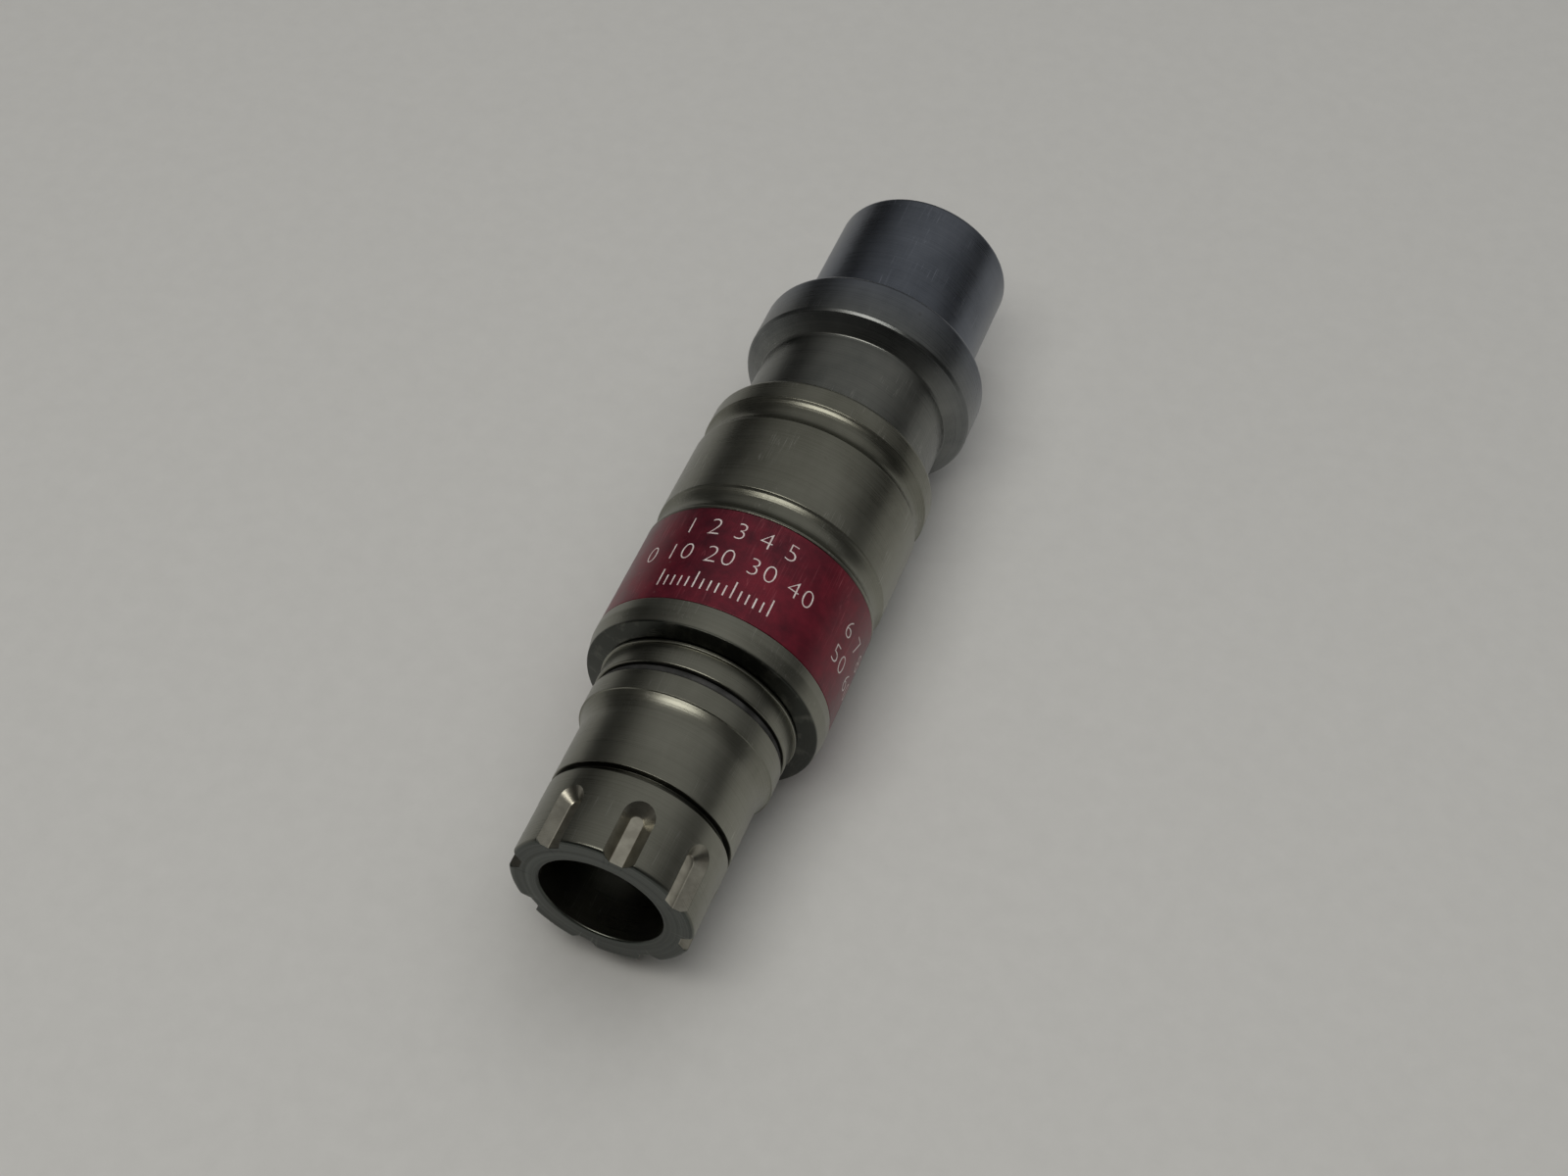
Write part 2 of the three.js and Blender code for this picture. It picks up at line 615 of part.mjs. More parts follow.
function makeCarrier() {
  const disc = ring(CARRIER.bore, CARRIER.radius, CARRIER.start, CARRIER.end);
  const spigot = doubleFlatOutline(SPIGOT.radius + FIT, SPIGOT.flat + FIT);
  const driveHole = prism(spigot, [], SPIGOT.start - 2 * FIT, CARRIER.end + OVER_RUN);
  const pinHoles = repeated(PLANET_COUNT, (index) => (
    carrierHole(CENTRE_DISTANCE, planetAngle(index), PLANET_PIN.radius + FIT / 2)));
  const lightening = repeated(PLANET_COUNT, (index) => (
    carrierHole(LIGHTENING_HOLE.centre, planetAngle(index + 0.5), LIGHTENING_HOLE.radius)));
  return cut(disc, [driveHole, ...pinHoles, ...lightening]);
}

function makeCarrierWasher() {
  const end = SPIGOT.start - 3 * FIT;
  return ring(SCREW.radius + FIT, CARRIER.bore - FIT, SCREW.headEnd + FIT, end, COARSE);
}

function makeCarrierScrew() {
  const { radius, headRadius, headStart, headEnd } = SCREW;
  const end = SPIGOT.start + SCREW.reach;
  const blank = turned([
    [0, headStart], [headRadius, headStart], [headRadius, headEnd], [radius, headEnd],
    [radius, end], [0, end],
  ], COARSE);
  const hexagon = circleOutline(SCREW_KEY.radius, HEXAGON_SIDES);
  const key = prism(hexagon, [], headStart - OVER_RUN, headStart + SCREW_KEY.depth);
  return cut(blank, [key]);
}

// ---------------------------------------------------------------- output spindle

function lockAngle(index) {
  return 2 * Math.PI * index / LOCK_BALL.count;
}

// The hole of a lock ball, narrowed at its inner end so that the ball can't fall through.
function lockBallHole(index) {
  const { radius, throat, taper } = BALL_HOLE;
  const inside = SOCKET.radius - OVER_RUN;
  const outside = SPINDLE_RADIUS + OVER_RUN;
  const hole = turned([
    [0, inside], [throat, inside], [throat, SOCKET.radius], [radius, SOCKET.radius + taper],
    [radius, outside], [0, outside],
  ], COARSE);
  hole.rotateX(Math.PI / 2);
  hole.translate(0, LOCK_BALL.station, 0);
  hole.rotateY(lockAngle(index));
  return hole;
}

// The square drive at the bottom of the socket.
function squareDrive() {
  const half = SQUARE_DRIVE.width / 2;
  const corners = [[-half, -half], [half, -half], [half, half], [-half, half]];
  const outline = corners.map(([z, x]) => new THREE.Vector2(z, x));
  return prism(outline, [], SQUARE_DRIVE.start, SOCKET.start + OVER_RUN);
}

// Blocks that leave the two flats of the carrier's drive on the spigot.
function spigotFlats() {
  const length = 2 * (JOURNAL.start - SPIGOT.start);
  const height = 2;
  return [1, -1].map((side) => {
    const centre = new THREE.Vector3(0, SPIGOT.start, side * (SPIGOT.flat + height / 2));
    return block(3 * SPIGOT.radius, length, height, centre);
  });
}

function makeSpindle() {
  const blank = turned([
    [0, SPIGOT.start], [SPIGOT.radius, SPIGOT.start], [SPIGOT.radius, JOURNAL.start],
    [JOURNAL.radius, JOURNAL.start], [JOURNAL.radius, JOURNAL.end],
    [SPINDLE_RADIUS, JOURNAL.end], [SPINDLE_RADIUS, SPRING_COLLAR.start],
    [SPRING_COLLAR.radius, SPRING_COLLAR.start], [SPRING_COLLAR.radius, SPRING_COLLAR.end],
    [SPINDLE_RADIUS, SPRING_COLLAR.end], ...clipGroove(NOSE_CLIP, SPINDLE_RADIUS, -1),
    [SPINDLE_RADIUS, SPINDLE_END - EDGE], [SPINDLE_RADIUS - EDGE, SPINDLE_END],
    [SOCKET.radius + SOCKET_CHAMFER, SPINDLE_END], [SOCKET.radius, SPINDLE_END - SOCKET_CHAMFER],
    [SOCKET.radius, SOCKET.start], [0, SOCKET.start - DRILL_POINT],
  ]);
  const screwStart = new THREE.Vector3(0, SPIGOT.start - OVER_RUN, 0);
  const screwEnd = new THREE.Vector3(0, SPIGOT.start + SCREW_HOLE_REACH, 0);
  const screwHole = rod(screwStart, screwEnd, SCREW.radius + FIT);
  const ballHoles = repeated(LOCK_BALL.count, lockBallHole);
  return cut(blank, [squareDrive(), ...spigotFlats(), screwHole, keyPin(FIT, OVER_RUN), ...ballHoles]);
}

// The dowel in the spindle that turns the sleeve with it and guides its slide.
function keyPin(clearance, overRun) {
  const angle = Math.PI / LOCK_BALL.count;
  const inner = polar(KEY_PIN.inner - clearance, KEY_PIN.station, angle);
  const outer = polar(KEY_PIN.outer + overRun, KEY_PIN.station, angle);
  return rod(inner, outer, KEY_PIN.radius + clearance, DOWEL_SIDES);
}

function makeSpringSeat() {
  const start = SPRING_COLLAR.end + FIT;
  return ring(SPINDLE_RADIUS + FIT, SPRING_SEAT.outer, start, start + SPRING_SEAT.thickness);
}

// The spring's centre line, from its seat ring to the shoulder in the sleeve.
class Helix extends THREE.Curve {
  getPoint(t, target = new THREE.Vector3()) {
    const gap = 2 * FIT + SPRING.wire;
    const start = SPRING_COLLAR.end + FIT + SPRING_SEAT.thickness + gap;
    const end = SPRING_SHOULDER - gap;
    const station = start + (end - start) * t;
    return target.copy(polar(SPRING.coilRadius, station, 2 * Math.PI * SPRING.turns * t));
  }
}

function makeSpring() {
  const section = new THREE.Shape(circleOutline(SPRING.wire, WIRE_SIDES));
  const steps = SPRING.turns * COARSE;
  return new THREE.ExtrudeGeometry(section, { steps, bevelEnabled: false, extrudePath: new Helix() });
}

// ---------------------------------------------------------------- sleeve

function makeSleeve() {
  const camSeat = CAM.radius + FIT;
  const rootFillet = 0.5;
  const rearChamfer = 0.9;
  const noseRound = 1.2;
  const blank = turned([
    [SKIRT_BORE, SLEEVE_START], [NECK_RADIUS - EDGE, SLEEVE_START],
    [NECK_RADIUS, SLEEVE_START + EDGE],
    [NECK_RADIUS, FLANGE.neckEnd], [NECK_RADIUS + rootFillet, FLANGE.neckEnd + rootFillet],
    [FLANGE_RADIUS - rearChamfer, FLANGE.start - rearChamfer],
    [FLANGE_RADIUS - EDGE, FLANGE.start - EDGE], [FLANGE_RADIUS, FLANGE.start + rootFillet],
    [FLANGE_RADIUS, FLANGE.end - rearChamfer], [FLANGE_RADIUS - rearChamfer, FLANGE.end],
    [NOSE_RADIUS + rootFillet, FLANGE.end], [NOSE_RADIUS, FLANGE.end + rootFillet],
    [NOSE_RADIUS, LENGTH - noseRound], [NOSE_RADIUS - EDGE, LENGTH - EDGE],
    [NOSE_RADIUS - noseRound, LENGTH],
    [camSeat, LENGTH], [camSeat, CAM.start - FIT], [SLIDE_BORE, CAM.start - FIT],
    [SLIDE_BORE, SPRING_SHOULDER], [SKIRT_BORE, SPRING_SHOULDER],
  ], FINE);
  return cut(blank, [keySlot()]);
}

// The slot in the sleeve that slides over the key pin, as long as the sleeve's travel.
function keySlot() {
  const width = 2 * KEY_PIN.radius + 4 * FIT;
  const top = KEY_PIN.outer + 3 * FIT;
  const start = SPRING_SHOULDER - 2 * OVER_RUN;
  const end = KEY_PIN.station + KEY_PIN.radius + SLEEVE_TRAVEL + 2 * FIT;
  const slot = block(width, end - start, top, new THREE.Vector3(0, (start + end) / 2, top / 2));
  slot.rotateY(Math.PI / LOCK_BALL.count);
  return slot;
}

// The hardened ring that holds the balls in, and lets them out as its ramp passes over them.
function makeCamRing() {
  const rise = CAM.relief - SLIDE_BORE;
  const rampLength = rise * SLEEVE_TRAVEL / LOCK_BALL.lift;
  return turned([
    [SLIDE_BORE, CAM.start], [CAM.radius, CAM.start], [CAM.radius, CAM.end],
    [CAM.relief, CAM.end], [CAM.relief, CAM.ramp + rampLength], [SLIDE_BORE, CAM.ramp],
  ]);
}

function makeLockBall(index) {
  const ball = new THREE.SphereGeometry(LOCK_BALL.radius, ...LOCK_BALL_FACETS);
  const place = polar(LOCK_BALL.centre, LOCK_BALL.station, lockAngle(index));
  ball.translate(place.x, place.y, place.z);
  return ball;
}

// ---------------------------------------------------------------- assembly

function part(name, geometry, look) {
  const mesh = new THREE.Mesh(geometry, new THREE.MeshStandardMaterial(look));
  mesh.name = name;
  return mesh;
}

function barrelGroup() {
  const seal = ring(SHAFT_SEAL.inner, BARREL_BORE - FIT, SHAFT_SEAL.start, SHAFT_SEAL.end);
  const clip = snapRing(BARREL_CLIP, INPUT_BEARING.outer, 1);
  const group = new THREE.Group();
  group.add(
    part('bayonet_barrel', makeBarrel(), STEEL),
    part('barrel_oring', makeBarrelOring(), BLACK_RUBBER),
    part('input_shaft_seal', seal, BLACK_RUBBER),
    part('input_bearing_outer_race', outerRace(INPUT_BEARING), BRIGHT_STEEL),
    part('input_retaining_ring', clip, SPRING_STEEL),
  );
  return group;
}

// A spacer between the two spindle bearings, which stops just short of their faces.
function bearingSpacer(inner, outer) {
  const start = REAR_BEARING.start + REAR_BEARING.width + FIT;
  return ring(inner, outer, start, FRONT_BEARING.start - FIT);
}

function housingGroup() {
  const seatOuter = BEARING_SEAT_RADIUS - FIT;
  const shim = ring(SHIM_INNER, PLUG_RADIUS - FIT, BARREL_END + 2 * FIT, GEAR_START - 5 * FIT);
  const gearSpacer = ring(
    SPACER_INNER, PLUG_RADIUS, GEAR_END + RING_OVERHANG + 2 * FIT, GEAR_CHAMBER.end - 2 * FIT,
  );
  const seal = ring(SPINDLE_RADIUS + HOLE_FIT, seatOuter, FRONT_SEAL.start, FRONT_SEAL.end);
  const clip = snapRing(FRONT_CLIP, BEARING_SEAT_RADIUS, 1);
  const group = new THREE.Group();
  group.add(
    part('gear_housing', makeHousing(), STEEL),
    part('colour_band', makeColourBand(), RED_ENAMEL),
    part('ring_gear', makeRingGear(), HARDENED_STEEL),
    part('preload_shim', shim, SPRING_STEEL),
    part('ring_gear_spacer', gearSpacer, HARDENED_STEEL),
    part('rear_bearing_outer_race', outerRace(REAR_BEARING), BRIGHT_STEEL),
    part('outer_race_spacer', bearingSpacer(seatOuter - SPACER_WALL.outer, seatOuter), BRIGHT_STEEL),
    part('front_bearing_outer_race', outerRace(FRONT_BEARING), BRIGHT_STEEL),
    part('front_retaining_ring', clip, SPRING_STEEL),
    part('front_shaft_seal', seal, BLACK_RUBBER),
  );
  dowelAngles().forEach((angle, index) => {
    group.add(part(`ring_gear_dowel_${index + 1}`, dowel(angle, 0, 0), HARDENED_STEEL));
  });
  return group;
}

function inputGroup() {
  const clip = snapRing(SHAFT_CLIP, INPUT_BEARING.bore, -1);
  const group = new THREE.Group();
  group.add(
    part('input_shaft', makeInputShaft(), HARDENED_STEEL),
    part('input_bearing_inner_race', innerRace(INPUT_BEARING), BRIGHT_STEEL),
    part('input_shaft_circlip', clip, SPRING_STEEL),
    part('sun_gear', makeSunGear(), HARDENED_STEEL),
    part('sun_gear_pin', sunPin(0, 0), HARDENED_STEEL),
    part('input_bearing_balls', cagedBalls(INPUT_BEARING), CAGE_BRASS),
  );
  return group;
}

function planetGroup(index) {
  const number = index + 1;
  const group = new THREE.Group();
  group.add(
    part(`planet_gear_${number}`, makePlanet(index), HARDENED_STEEL),
    part(`planet_bush_${number}`, makePlanetBush(index), BRONZE),
    part(`planet_pin_${number}`, makePlanetPin(index), HARDENED_STEEL),
  );
  return group;
}

function outputGroup() {
  const journal = JOURNAL.radius + FIT;
  const clip = snapRing(NOSE_CLIP, SPINDLE_RADIUS, -1);
  const group = new THREE.Group();
  group.add(
    part('planet_carrier', makeCarrier(), HARDENED_STEEL),
    part('carrier_washer', makeCarrierWasher(), BRIGHT_STEEL),
    part('carrier_screw', makeCarrierScrew(), DARK_STEEL),
    part('output_spindle', makeSpindle(), HARDENED_STEEL),
    part('rear_bearing_inner_race', innerRace(REAR_BEARING), BRIGHT_STEEL),
    part('rear_bearing_balls', cagedBalls(REAR_BEARING), CAGE_BRASS),
    part('inner_race_spacer', bearingSpacer(journal, journal + SPACER_WALL.inner), BRIGHT_STEEL),
    part('front_bearing_inner_race', innerRace(FRONT_BEARING), BRIGHT_STEEL),
    part('front_bearing_balls', cagedBalls(FRONT_BEARING), CAGE_BRASS),
    part('spring_seat_ring', makeSpringSeat(), SPRING_STEEL),
    part('sleeve_spring', makeSpring(), SPRING_STEEL),
    part('sleeve_key_pin', keyPin(0, 0), HARDENED_STEEL),
    part('nose_retaining_ring', clip, SPRING_STEEL),
  );
  return group;
}

function sleeveGroup() {
  const group = new THREE.Group();
  group.add(
    part('release_sleeve', makeSleeve(), DARK_STEEL),
    part('lock_cam_ring', makeCamRing(), HARDENED_STEEL),
  );
  for (let index = 0; index < LOCK_BALL.count; index += 1) {
    group.add(part(`lock_ball_${index + 1}`, makeLockBall(index), BRIGHT_STEEL));
  }
  return group;
}

const coupling = new THREE.Group();
coupling.add(barrelGroup(), housingGroup(), inputGroup(), outputGroup(), sleeveGroup());
for (let index = 0; index < PLANET_COUNT; index += 1) {
  coupling.add(planetGroup(index));
}
coupling.position.y = -LENGTH / 2;

export default coupling;
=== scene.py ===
"""Looks of a geared quick-release shaft coupling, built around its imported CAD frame.

The shaft axis is +Y. Lengths are millimetres along the shaft from the input face ("stations") and
radii from the shaft axis, and MM turns them into the frame's metres.
"""

import json
import math

import bmesh
import bpy
from mathutils import Matrix, Vector

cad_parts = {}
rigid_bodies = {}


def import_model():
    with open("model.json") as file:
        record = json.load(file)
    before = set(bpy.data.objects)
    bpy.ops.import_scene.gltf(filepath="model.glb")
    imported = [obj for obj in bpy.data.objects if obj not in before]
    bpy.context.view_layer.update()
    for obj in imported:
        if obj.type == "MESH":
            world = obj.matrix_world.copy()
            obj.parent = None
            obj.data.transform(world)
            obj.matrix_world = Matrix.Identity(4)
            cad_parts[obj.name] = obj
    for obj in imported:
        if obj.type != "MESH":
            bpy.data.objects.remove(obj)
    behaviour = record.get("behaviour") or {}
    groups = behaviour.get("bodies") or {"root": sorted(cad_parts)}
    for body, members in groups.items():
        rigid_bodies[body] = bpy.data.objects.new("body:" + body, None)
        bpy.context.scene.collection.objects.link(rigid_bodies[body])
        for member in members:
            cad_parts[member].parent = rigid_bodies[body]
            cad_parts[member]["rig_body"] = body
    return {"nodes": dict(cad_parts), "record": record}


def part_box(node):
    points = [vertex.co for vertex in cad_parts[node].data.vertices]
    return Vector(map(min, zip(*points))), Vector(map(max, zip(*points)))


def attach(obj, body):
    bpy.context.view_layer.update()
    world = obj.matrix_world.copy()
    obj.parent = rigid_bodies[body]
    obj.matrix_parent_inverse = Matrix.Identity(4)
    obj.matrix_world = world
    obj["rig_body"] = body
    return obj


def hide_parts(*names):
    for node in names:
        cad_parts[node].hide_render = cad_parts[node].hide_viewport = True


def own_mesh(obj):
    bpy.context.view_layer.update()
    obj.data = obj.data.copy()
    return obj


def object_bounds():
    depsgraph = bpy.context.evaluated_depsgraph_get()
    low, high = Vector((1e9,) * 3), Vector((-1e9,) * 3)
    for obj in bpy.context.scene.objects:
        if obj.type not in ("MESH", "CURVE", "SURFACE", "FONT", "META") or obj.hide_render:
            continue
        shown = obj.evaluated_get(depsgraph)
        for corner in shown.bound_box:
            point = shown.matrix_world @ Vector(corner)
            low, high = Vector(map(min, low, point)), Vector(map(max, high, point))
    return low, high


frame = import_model()
cad_box = [list(corner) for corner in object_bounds()]

MM = 0.001
NODES = frame["nodes"]
SLOT_OF = {row["node"]: row["material_slot"] for row in frame["record"]["subparts"]}
FLOOR_Z = cad_box[0][2]
LENGTH = (cad_box[1][1] - cad_box[0][1]) / MM


def stations(node):
    """First and last station of a CAD node."""
    low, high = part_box(node)
    return low.y / MM + LENGTH / 2, high.y / MM + LENGTH / 2


def outer_radius(node):
    """Largest radius of a CAD node that is turned about the shaft axis."""
    low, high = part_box(node)
    return max(high.x, high.z, -low.x, -low.z) / MM


def shaft_y(station):
    """The frame's Y of a station, in metres."""
    return (station - LENGTH / 2) * MM


# ---------------- dimensions

# Sides of turned pieces, the overrun of cutting tools and the play between pieces that fit together
OUTER_SIDES = 192
INNER_SIDES = 112
NEARLY_STRAIGHT = math.radians(176)
OVER_RUN = 1.0
FIT = 0.08

# Outer shape, read off the frame where a node gives it
BODY_RADIUS = outer_radius("gear_housing")
FLANGE_RADIUS = outer_radius("release_sleeve")
PLUG_RADIUS = 12.6
BARREL_RADIUS = 11.9
RING_RADIUS = 12.9
NECK_RADIUS = 13.6
NOSE_RADIUS = 12.6

BARREL_BORE = 8.0
SLOT_COUNT = 8
SLOT_PHASE = math.radians(14.5)
SLOT_LENGTH = 8.2
SLOT_WIDTH = 4.3
SLOT_FLOOR_WIDTH = 1.6
SLOT_DEPTH = 1.5
LATCH_GROOVE = (10.7, 11.8)
LATCH_GROOVE_RADIUS = 11.0
RING_FILLET_START = 19.6
RING_STEP = 0.2
REAR_RING = (22.3, 25.4)
ORING_GROOVE = (25.4, 26.6)
ORING_FLOOR = 11.5
LAND_LIP_HEIGHT = 0.3
LAND_LIP_WIDTH = 0.5
HOUSING_FACE = 30.0

HOUSING_LIP = 30.6
HOUSING_LIP_RADIUS = 15.55
HOUSING_TAPER = 32.6
HOUSING_END = stations("gear_housing")[1]
BAND = (34.1, 49.4)
BAND_DEPTH = 0.5
FINGER_COVES = ((49.8, 53.6), (65.7, 69.7))
FINGER_COVE_DEPTH = 0.85
CHAMBER_END = 51.0
BEARING_STOP_END = 51.4
BEARING_SEAT = 10.5
MOUTH_RADIUS = 13.95
MOUTH_START = 67.7

SLEEVE_START, SLEEVE_END = stations("release_sleeve")
NECK_END = 84.0
FLANGE = (86.4, 93.4)
SKIRT_BORE = 11.7
SPRING_SHOULDER = 91.4

SPINDLE_RADIUS = 8.0
SLIDE_BORE = SPINDLE_RADIUS + 0.2
JOURNAL_RADIUS = 6.0
SPINDLE_START, SPINDLE_END = stations("output_spindle")
SOCKET_RADIUS = 4.75
SOCKET_START = 93.0
SQUARE_DRIVE = 6.4
SQUARE_START = 85.0
SPIGOT_RADIUS = 4.2
SPIGOT_FLAT = 3.3
JOURNAL = (50.8, 65.4)
SPRING_COLLAR_RADIUS = 11.2
SPRING_COLLAR = (70.6, 72.6)
LOCK_STATION = 104.0
LOCK_BALL_RADIUS = 2.2
LOCK_BALL_CENTRE = 5.9
LOCK_BALL_COUNT = 3
LOCK_BALL_LIFT = 1.05
SLEEVE_TRAVEL = 4.0
CAM_RAMP = 103.4
CAM_RELIEF = 9.4
KEY_PIN_RADIUS = 1.2
KEY_PIN_STATION = 95.2
KEY_PIN_ENDS = (5.3, 9.5)
KEY_PIN_ANGLE = math.pi / LOCK_BALL_COUNT
SPRING_WIRE = 0.65
SPRING_COIL_RADIUS = 9.85
SPRING_TURNS = 5

# Retaining rings: inner and outer radius, gap width, gap angle
CLIPS = {
    "input_retaining_ring": (8.3, 9.9, 4.0, 0.0),
    "input_shaft_circlip": (3.6, 5.4, 2.4, math.pi),
    "front_retaining_ring": (9.3, 11.0, 4.0, math.pi),
    "nose_retaining_ring": (7.4, 10.1, 4.0, 0.6),
}
CLIP_PLAY = 0.1

# Bearings: bore and outside radius, ball radius, ball count
BEARINGS = {
    "input_bearing": (4.0, 9.4, 1.5, 7),
    "rear_bearing": (6.0, 10.5, 1.2, 9),
    "front_bearing": (6.0, 10.5, 1.2, 9),
}
RACE_LAND = 0.55

# Plain rings, with their inner radius
PLAIN_RINGS = {
    "preload_shim": 10.6,
    "ring_gear_spacer": 11.8,
    "outer_race_spacer": 9.4,
    "inner_race_spacer": 6.1,
    "spring_seat_ring": 8.1,
    "carrier_washer": 1.6,
}

# Gear set, as in the frame
MODULE = 0.6
SUN_TEETH = PLANET_TEETH = 12
RING_TEETH = 36
PRESSURE_ANGLE = math.radians(25)
ADDENDUM = 0.9 * MODULE
DEDENDUM = 1.15 * MODULE
TOOTH_THINNING = 0.07
GEARS = stations("planet_gear_1")
SUN_PIN_STATION = 35.0
HEXAGON_FLATS = 6.35
CENTRE_DISTANCE = MODULE * (SUN_TEETH + PLANET_TEETH) / 2
PLANET_COUNT = 3
DOWEL_ANGLES = (math.pi / 2, -math.pi / 2)

# Markings on the band
MARKING_RADIUS = BODY_RADIUS - 0.035
MARKING_RELIEF = 0.02
MARKING_STROKE = 0.2
MARKING_THINNING = 0.09
FIGURE_HEIGHT = 2.7
FONT_CAP_HEIGHT = 0.70

# The brightest part of the surround
WORLD_LIGHT_DIRECTION = (0.12, 0.50, 0.86)

# Camera: a short telephoto view, looking down on the coupling from its input end
CAMERA_AZIMUTH = math.radians(21.45)
CAMERA_ELEVATION = math.radians(52.05)
CAMERA_DISTANCE = 0.3097
CAMERA_AIM_RIGHT = 0.00072
CAMERA_AIM_UP = -0.00497
FOCAL_LENGTH = 54.1


# ---------------- mesh building

def spread(first, last, steps):
    """Evenly spaced values from the first to the last, both included."""
    return [first + (last - first) * step / steps for step in range(steps + 1)]


def around(count, phase=0.0):
    """Evenly spaced angles round the shaft."""
    return [phase + 2 * math.pi * index / count for index in range(count)]


def polar(radius, angle):
    """A point of an outline, from its radius and its angle from +Z towards +X."""
    return radius * math.cos(angle), radius * math.sin(angle)


def place(radius, station, angle):
    """A point from its radius, its station and its angle from +Z towards +X, in metres."""
    z, x = polar(radius * MM, angle)
    return Vector((x, shaft_y(station), z))


def new_object(name, mesh):
    obj = bpy.data.objects.new(name, mesh)
    bpy.context.scene.collection.objects.link(obj)
    return obj


def object_from_bmesh(name, bm):
    """A smooth-shaded object from a bmesh, which is used up."""
    bmesh.ops.remove_doubles(bm, verts=bm.verts, dist=1e-7)
    loose = [vert for vert in bm.verts if not vert.link_faces]
    bmesh.ops.delete(bm, geom=loose, context="VERTS")
    bmesh.ops.recalc_face_normals(bm, faces=bm.faces)
    mesh = bpy.data.meshes.new(name)
    bm.to_mesh(mesh)
    bm.free()
    mesh.shade_smooth()
    mesh.set_sharp_from_angle(angle=math.radians(32))
    return new_object(name, mesh)


def rounded(corners, arc_steps):
    """A closed outline whose corners (radius, station, fillet) are rounded by their fillets."""
    points = []
    for index, (radius, station, fillet) in enumerate(corners):
        here = Vector((radius, station))
        before = Vector(corners[index - 1][:2]) - here
        after = Vector(corners[(index + 1) % len(corners)][:2]) - here
        opening = before.angle(after)
        if fillet <= 0 or opening > NEARLY_STRAIGHT:
            points.append(here)
            continue
        room = 0.45 * min(before.length, after.length)
        reach = min(fillet / math.tan(opening / 2), room)
        arc_radius = reach * math.tan(opening / 2)
        before.normalize()
        after.normalize()
        centre = here + (before + after).normalized() * (arc_radius / math.sin(opening / 2))
        start = here + before * reach - centre
        finish = here + after * reach - centre
        first = math.atan2(start.y, start.x)
        sweep = math.atan2(finish.y, finish.x) - first
        sweep = (sweep + math.pi) % (2 * math.pi) - math.pi
        for angle in spread(first, first + sweep, arc_steps):
            points.append(centre + Vector(polar(arc_radius, angle)))
    return points


def with_support(points):
    """Adds a point just inside each end of every long straight run, to keep its shading flat."""
    margin, shortest = 0.05, 0.3
    supported = []
    for index, point in enumerate(points):
        supported.append(point)
        run = points[(index + 1) % len(points)] - point
        if run.length > shortest:
            supported.append(point + run * (margin / run.length))
            supported.append(point + run * (1 - margin / run.length))
    return supported


def turned(name, corners, sides=INNER_SIDES, arc_steps=5):
    """A closed outline of (radius, station, fillet) corners, revolved about the shaft axis."""
    outline = with_support(rounded(corners, arc_steps))
    bm = bmesh.new()
    rows = []
    for point in outline:
        if point.x < 1e-6:
            rows.append([bm.verts.new(place(0, point.y, 0))] * sides)
            continue
        rows.append([bm.verts.new(place(point.x, point.y, angle)) for angle in around(sides)])
    for row, lower in enumerate(rows):
        upper = rows[(row + 1) % len(rows)]
        for side in range(sides):
            across = (side + 1) % sides
            ring = [lower[side], lower[across], upper[across], upper[side]]
            corners_of_face = list(dict.fromkeys(ring))
            if len(corners_of_face) > 2:
                bm.faces.new(corners_of_face)
    return object_from_bmesh(name, bm)


def collar(name, inner, outer, start, end, fillet, sides=INNER_SIDES):
    """A plain turned ring with its edges broken."""
    return turned(name, [
        (inner, start, fillet), (outer, start, fillet), (outer, end, fillet), (inner, end, fillet),
    ], sides)


def loft(name, lower, upper):
    """A closed solid between two outlines that have the same number of points."""
    bm = bmesh.new()
    low = [bm.verts.new(point) for point in lower]
    high = [bm.verts.new(point) for point in upper]
    bm.faces.new(low)
    bm.faces.new(high)
    for index in range(len(low)):
        after = (index + 1) % len(low)
        bm.faces.new((low[index], low[after], high[after], high[index]))
    return object_from_bmesh(name, bm)


def prism(name, outline, start, end):
    """Extrudes an outline of (z, x) points, in millimetres, between two stations."""
    def raised(station):
        return [Vector((x * MM, shaft_y(station), z * MM)) for z, x in outline]
    return loft(name, raised(start), raised(end))


def circle(radius, sides):
    return [polar(radius, angle) for angle in around(sides)]


def rod(name, start, end, radius, sides):
    """A round bar between two points, with its length along any direction."""
    axis = (end - start).normalized()
    across = axis.orthogonal().normalized()
    other = axis.cross(across)
    def rim(middle):
        return [middle + across * x + other * y for x, y in circle(radius * MM, sides)]
    return loft(name, rim(start), rim(end))


def applied(obj):
    """Replaces an object's mesh by the result of its modifiers."""
    bpy.context.view_layer.update()
    evaluated = obj.evaluated_get(bpy.context.evaluated_depsgraph_get())
    mesh = bpy.data.meshes.new_from_object(evaluated)
    old = obj.data
    obj.modifiers.clear()
    obj.data = mesh
    bpy.data.meshes.remove(old)
    return obj


def cut(obj, tools, operation="DIFFERENCE"):
    """Cuts an object by others, which are used up."""
    for tool in tools:
        boolean = obj.modifiers.new("cut", "BOOLEAN")
        boolean.operation = operation
        boolean.solver = "EXACT"
        boolean.object = tool
        applied(obj)
        bpy.data.objects.remove(tool)
    return obj


def shifted(obj, offset):
    obj.data.transform(Matrix.Translation(offset))
    return obj


def joined(name, pieces):
    """One object from the meshes of several, which are used up."""
    bm = bmesh.new()
    for piece in pieces:
        bm.from_mesh(piece.data)
        bpy.data.objects.remove(piece)
    return object_from_bmesh(name, bm)


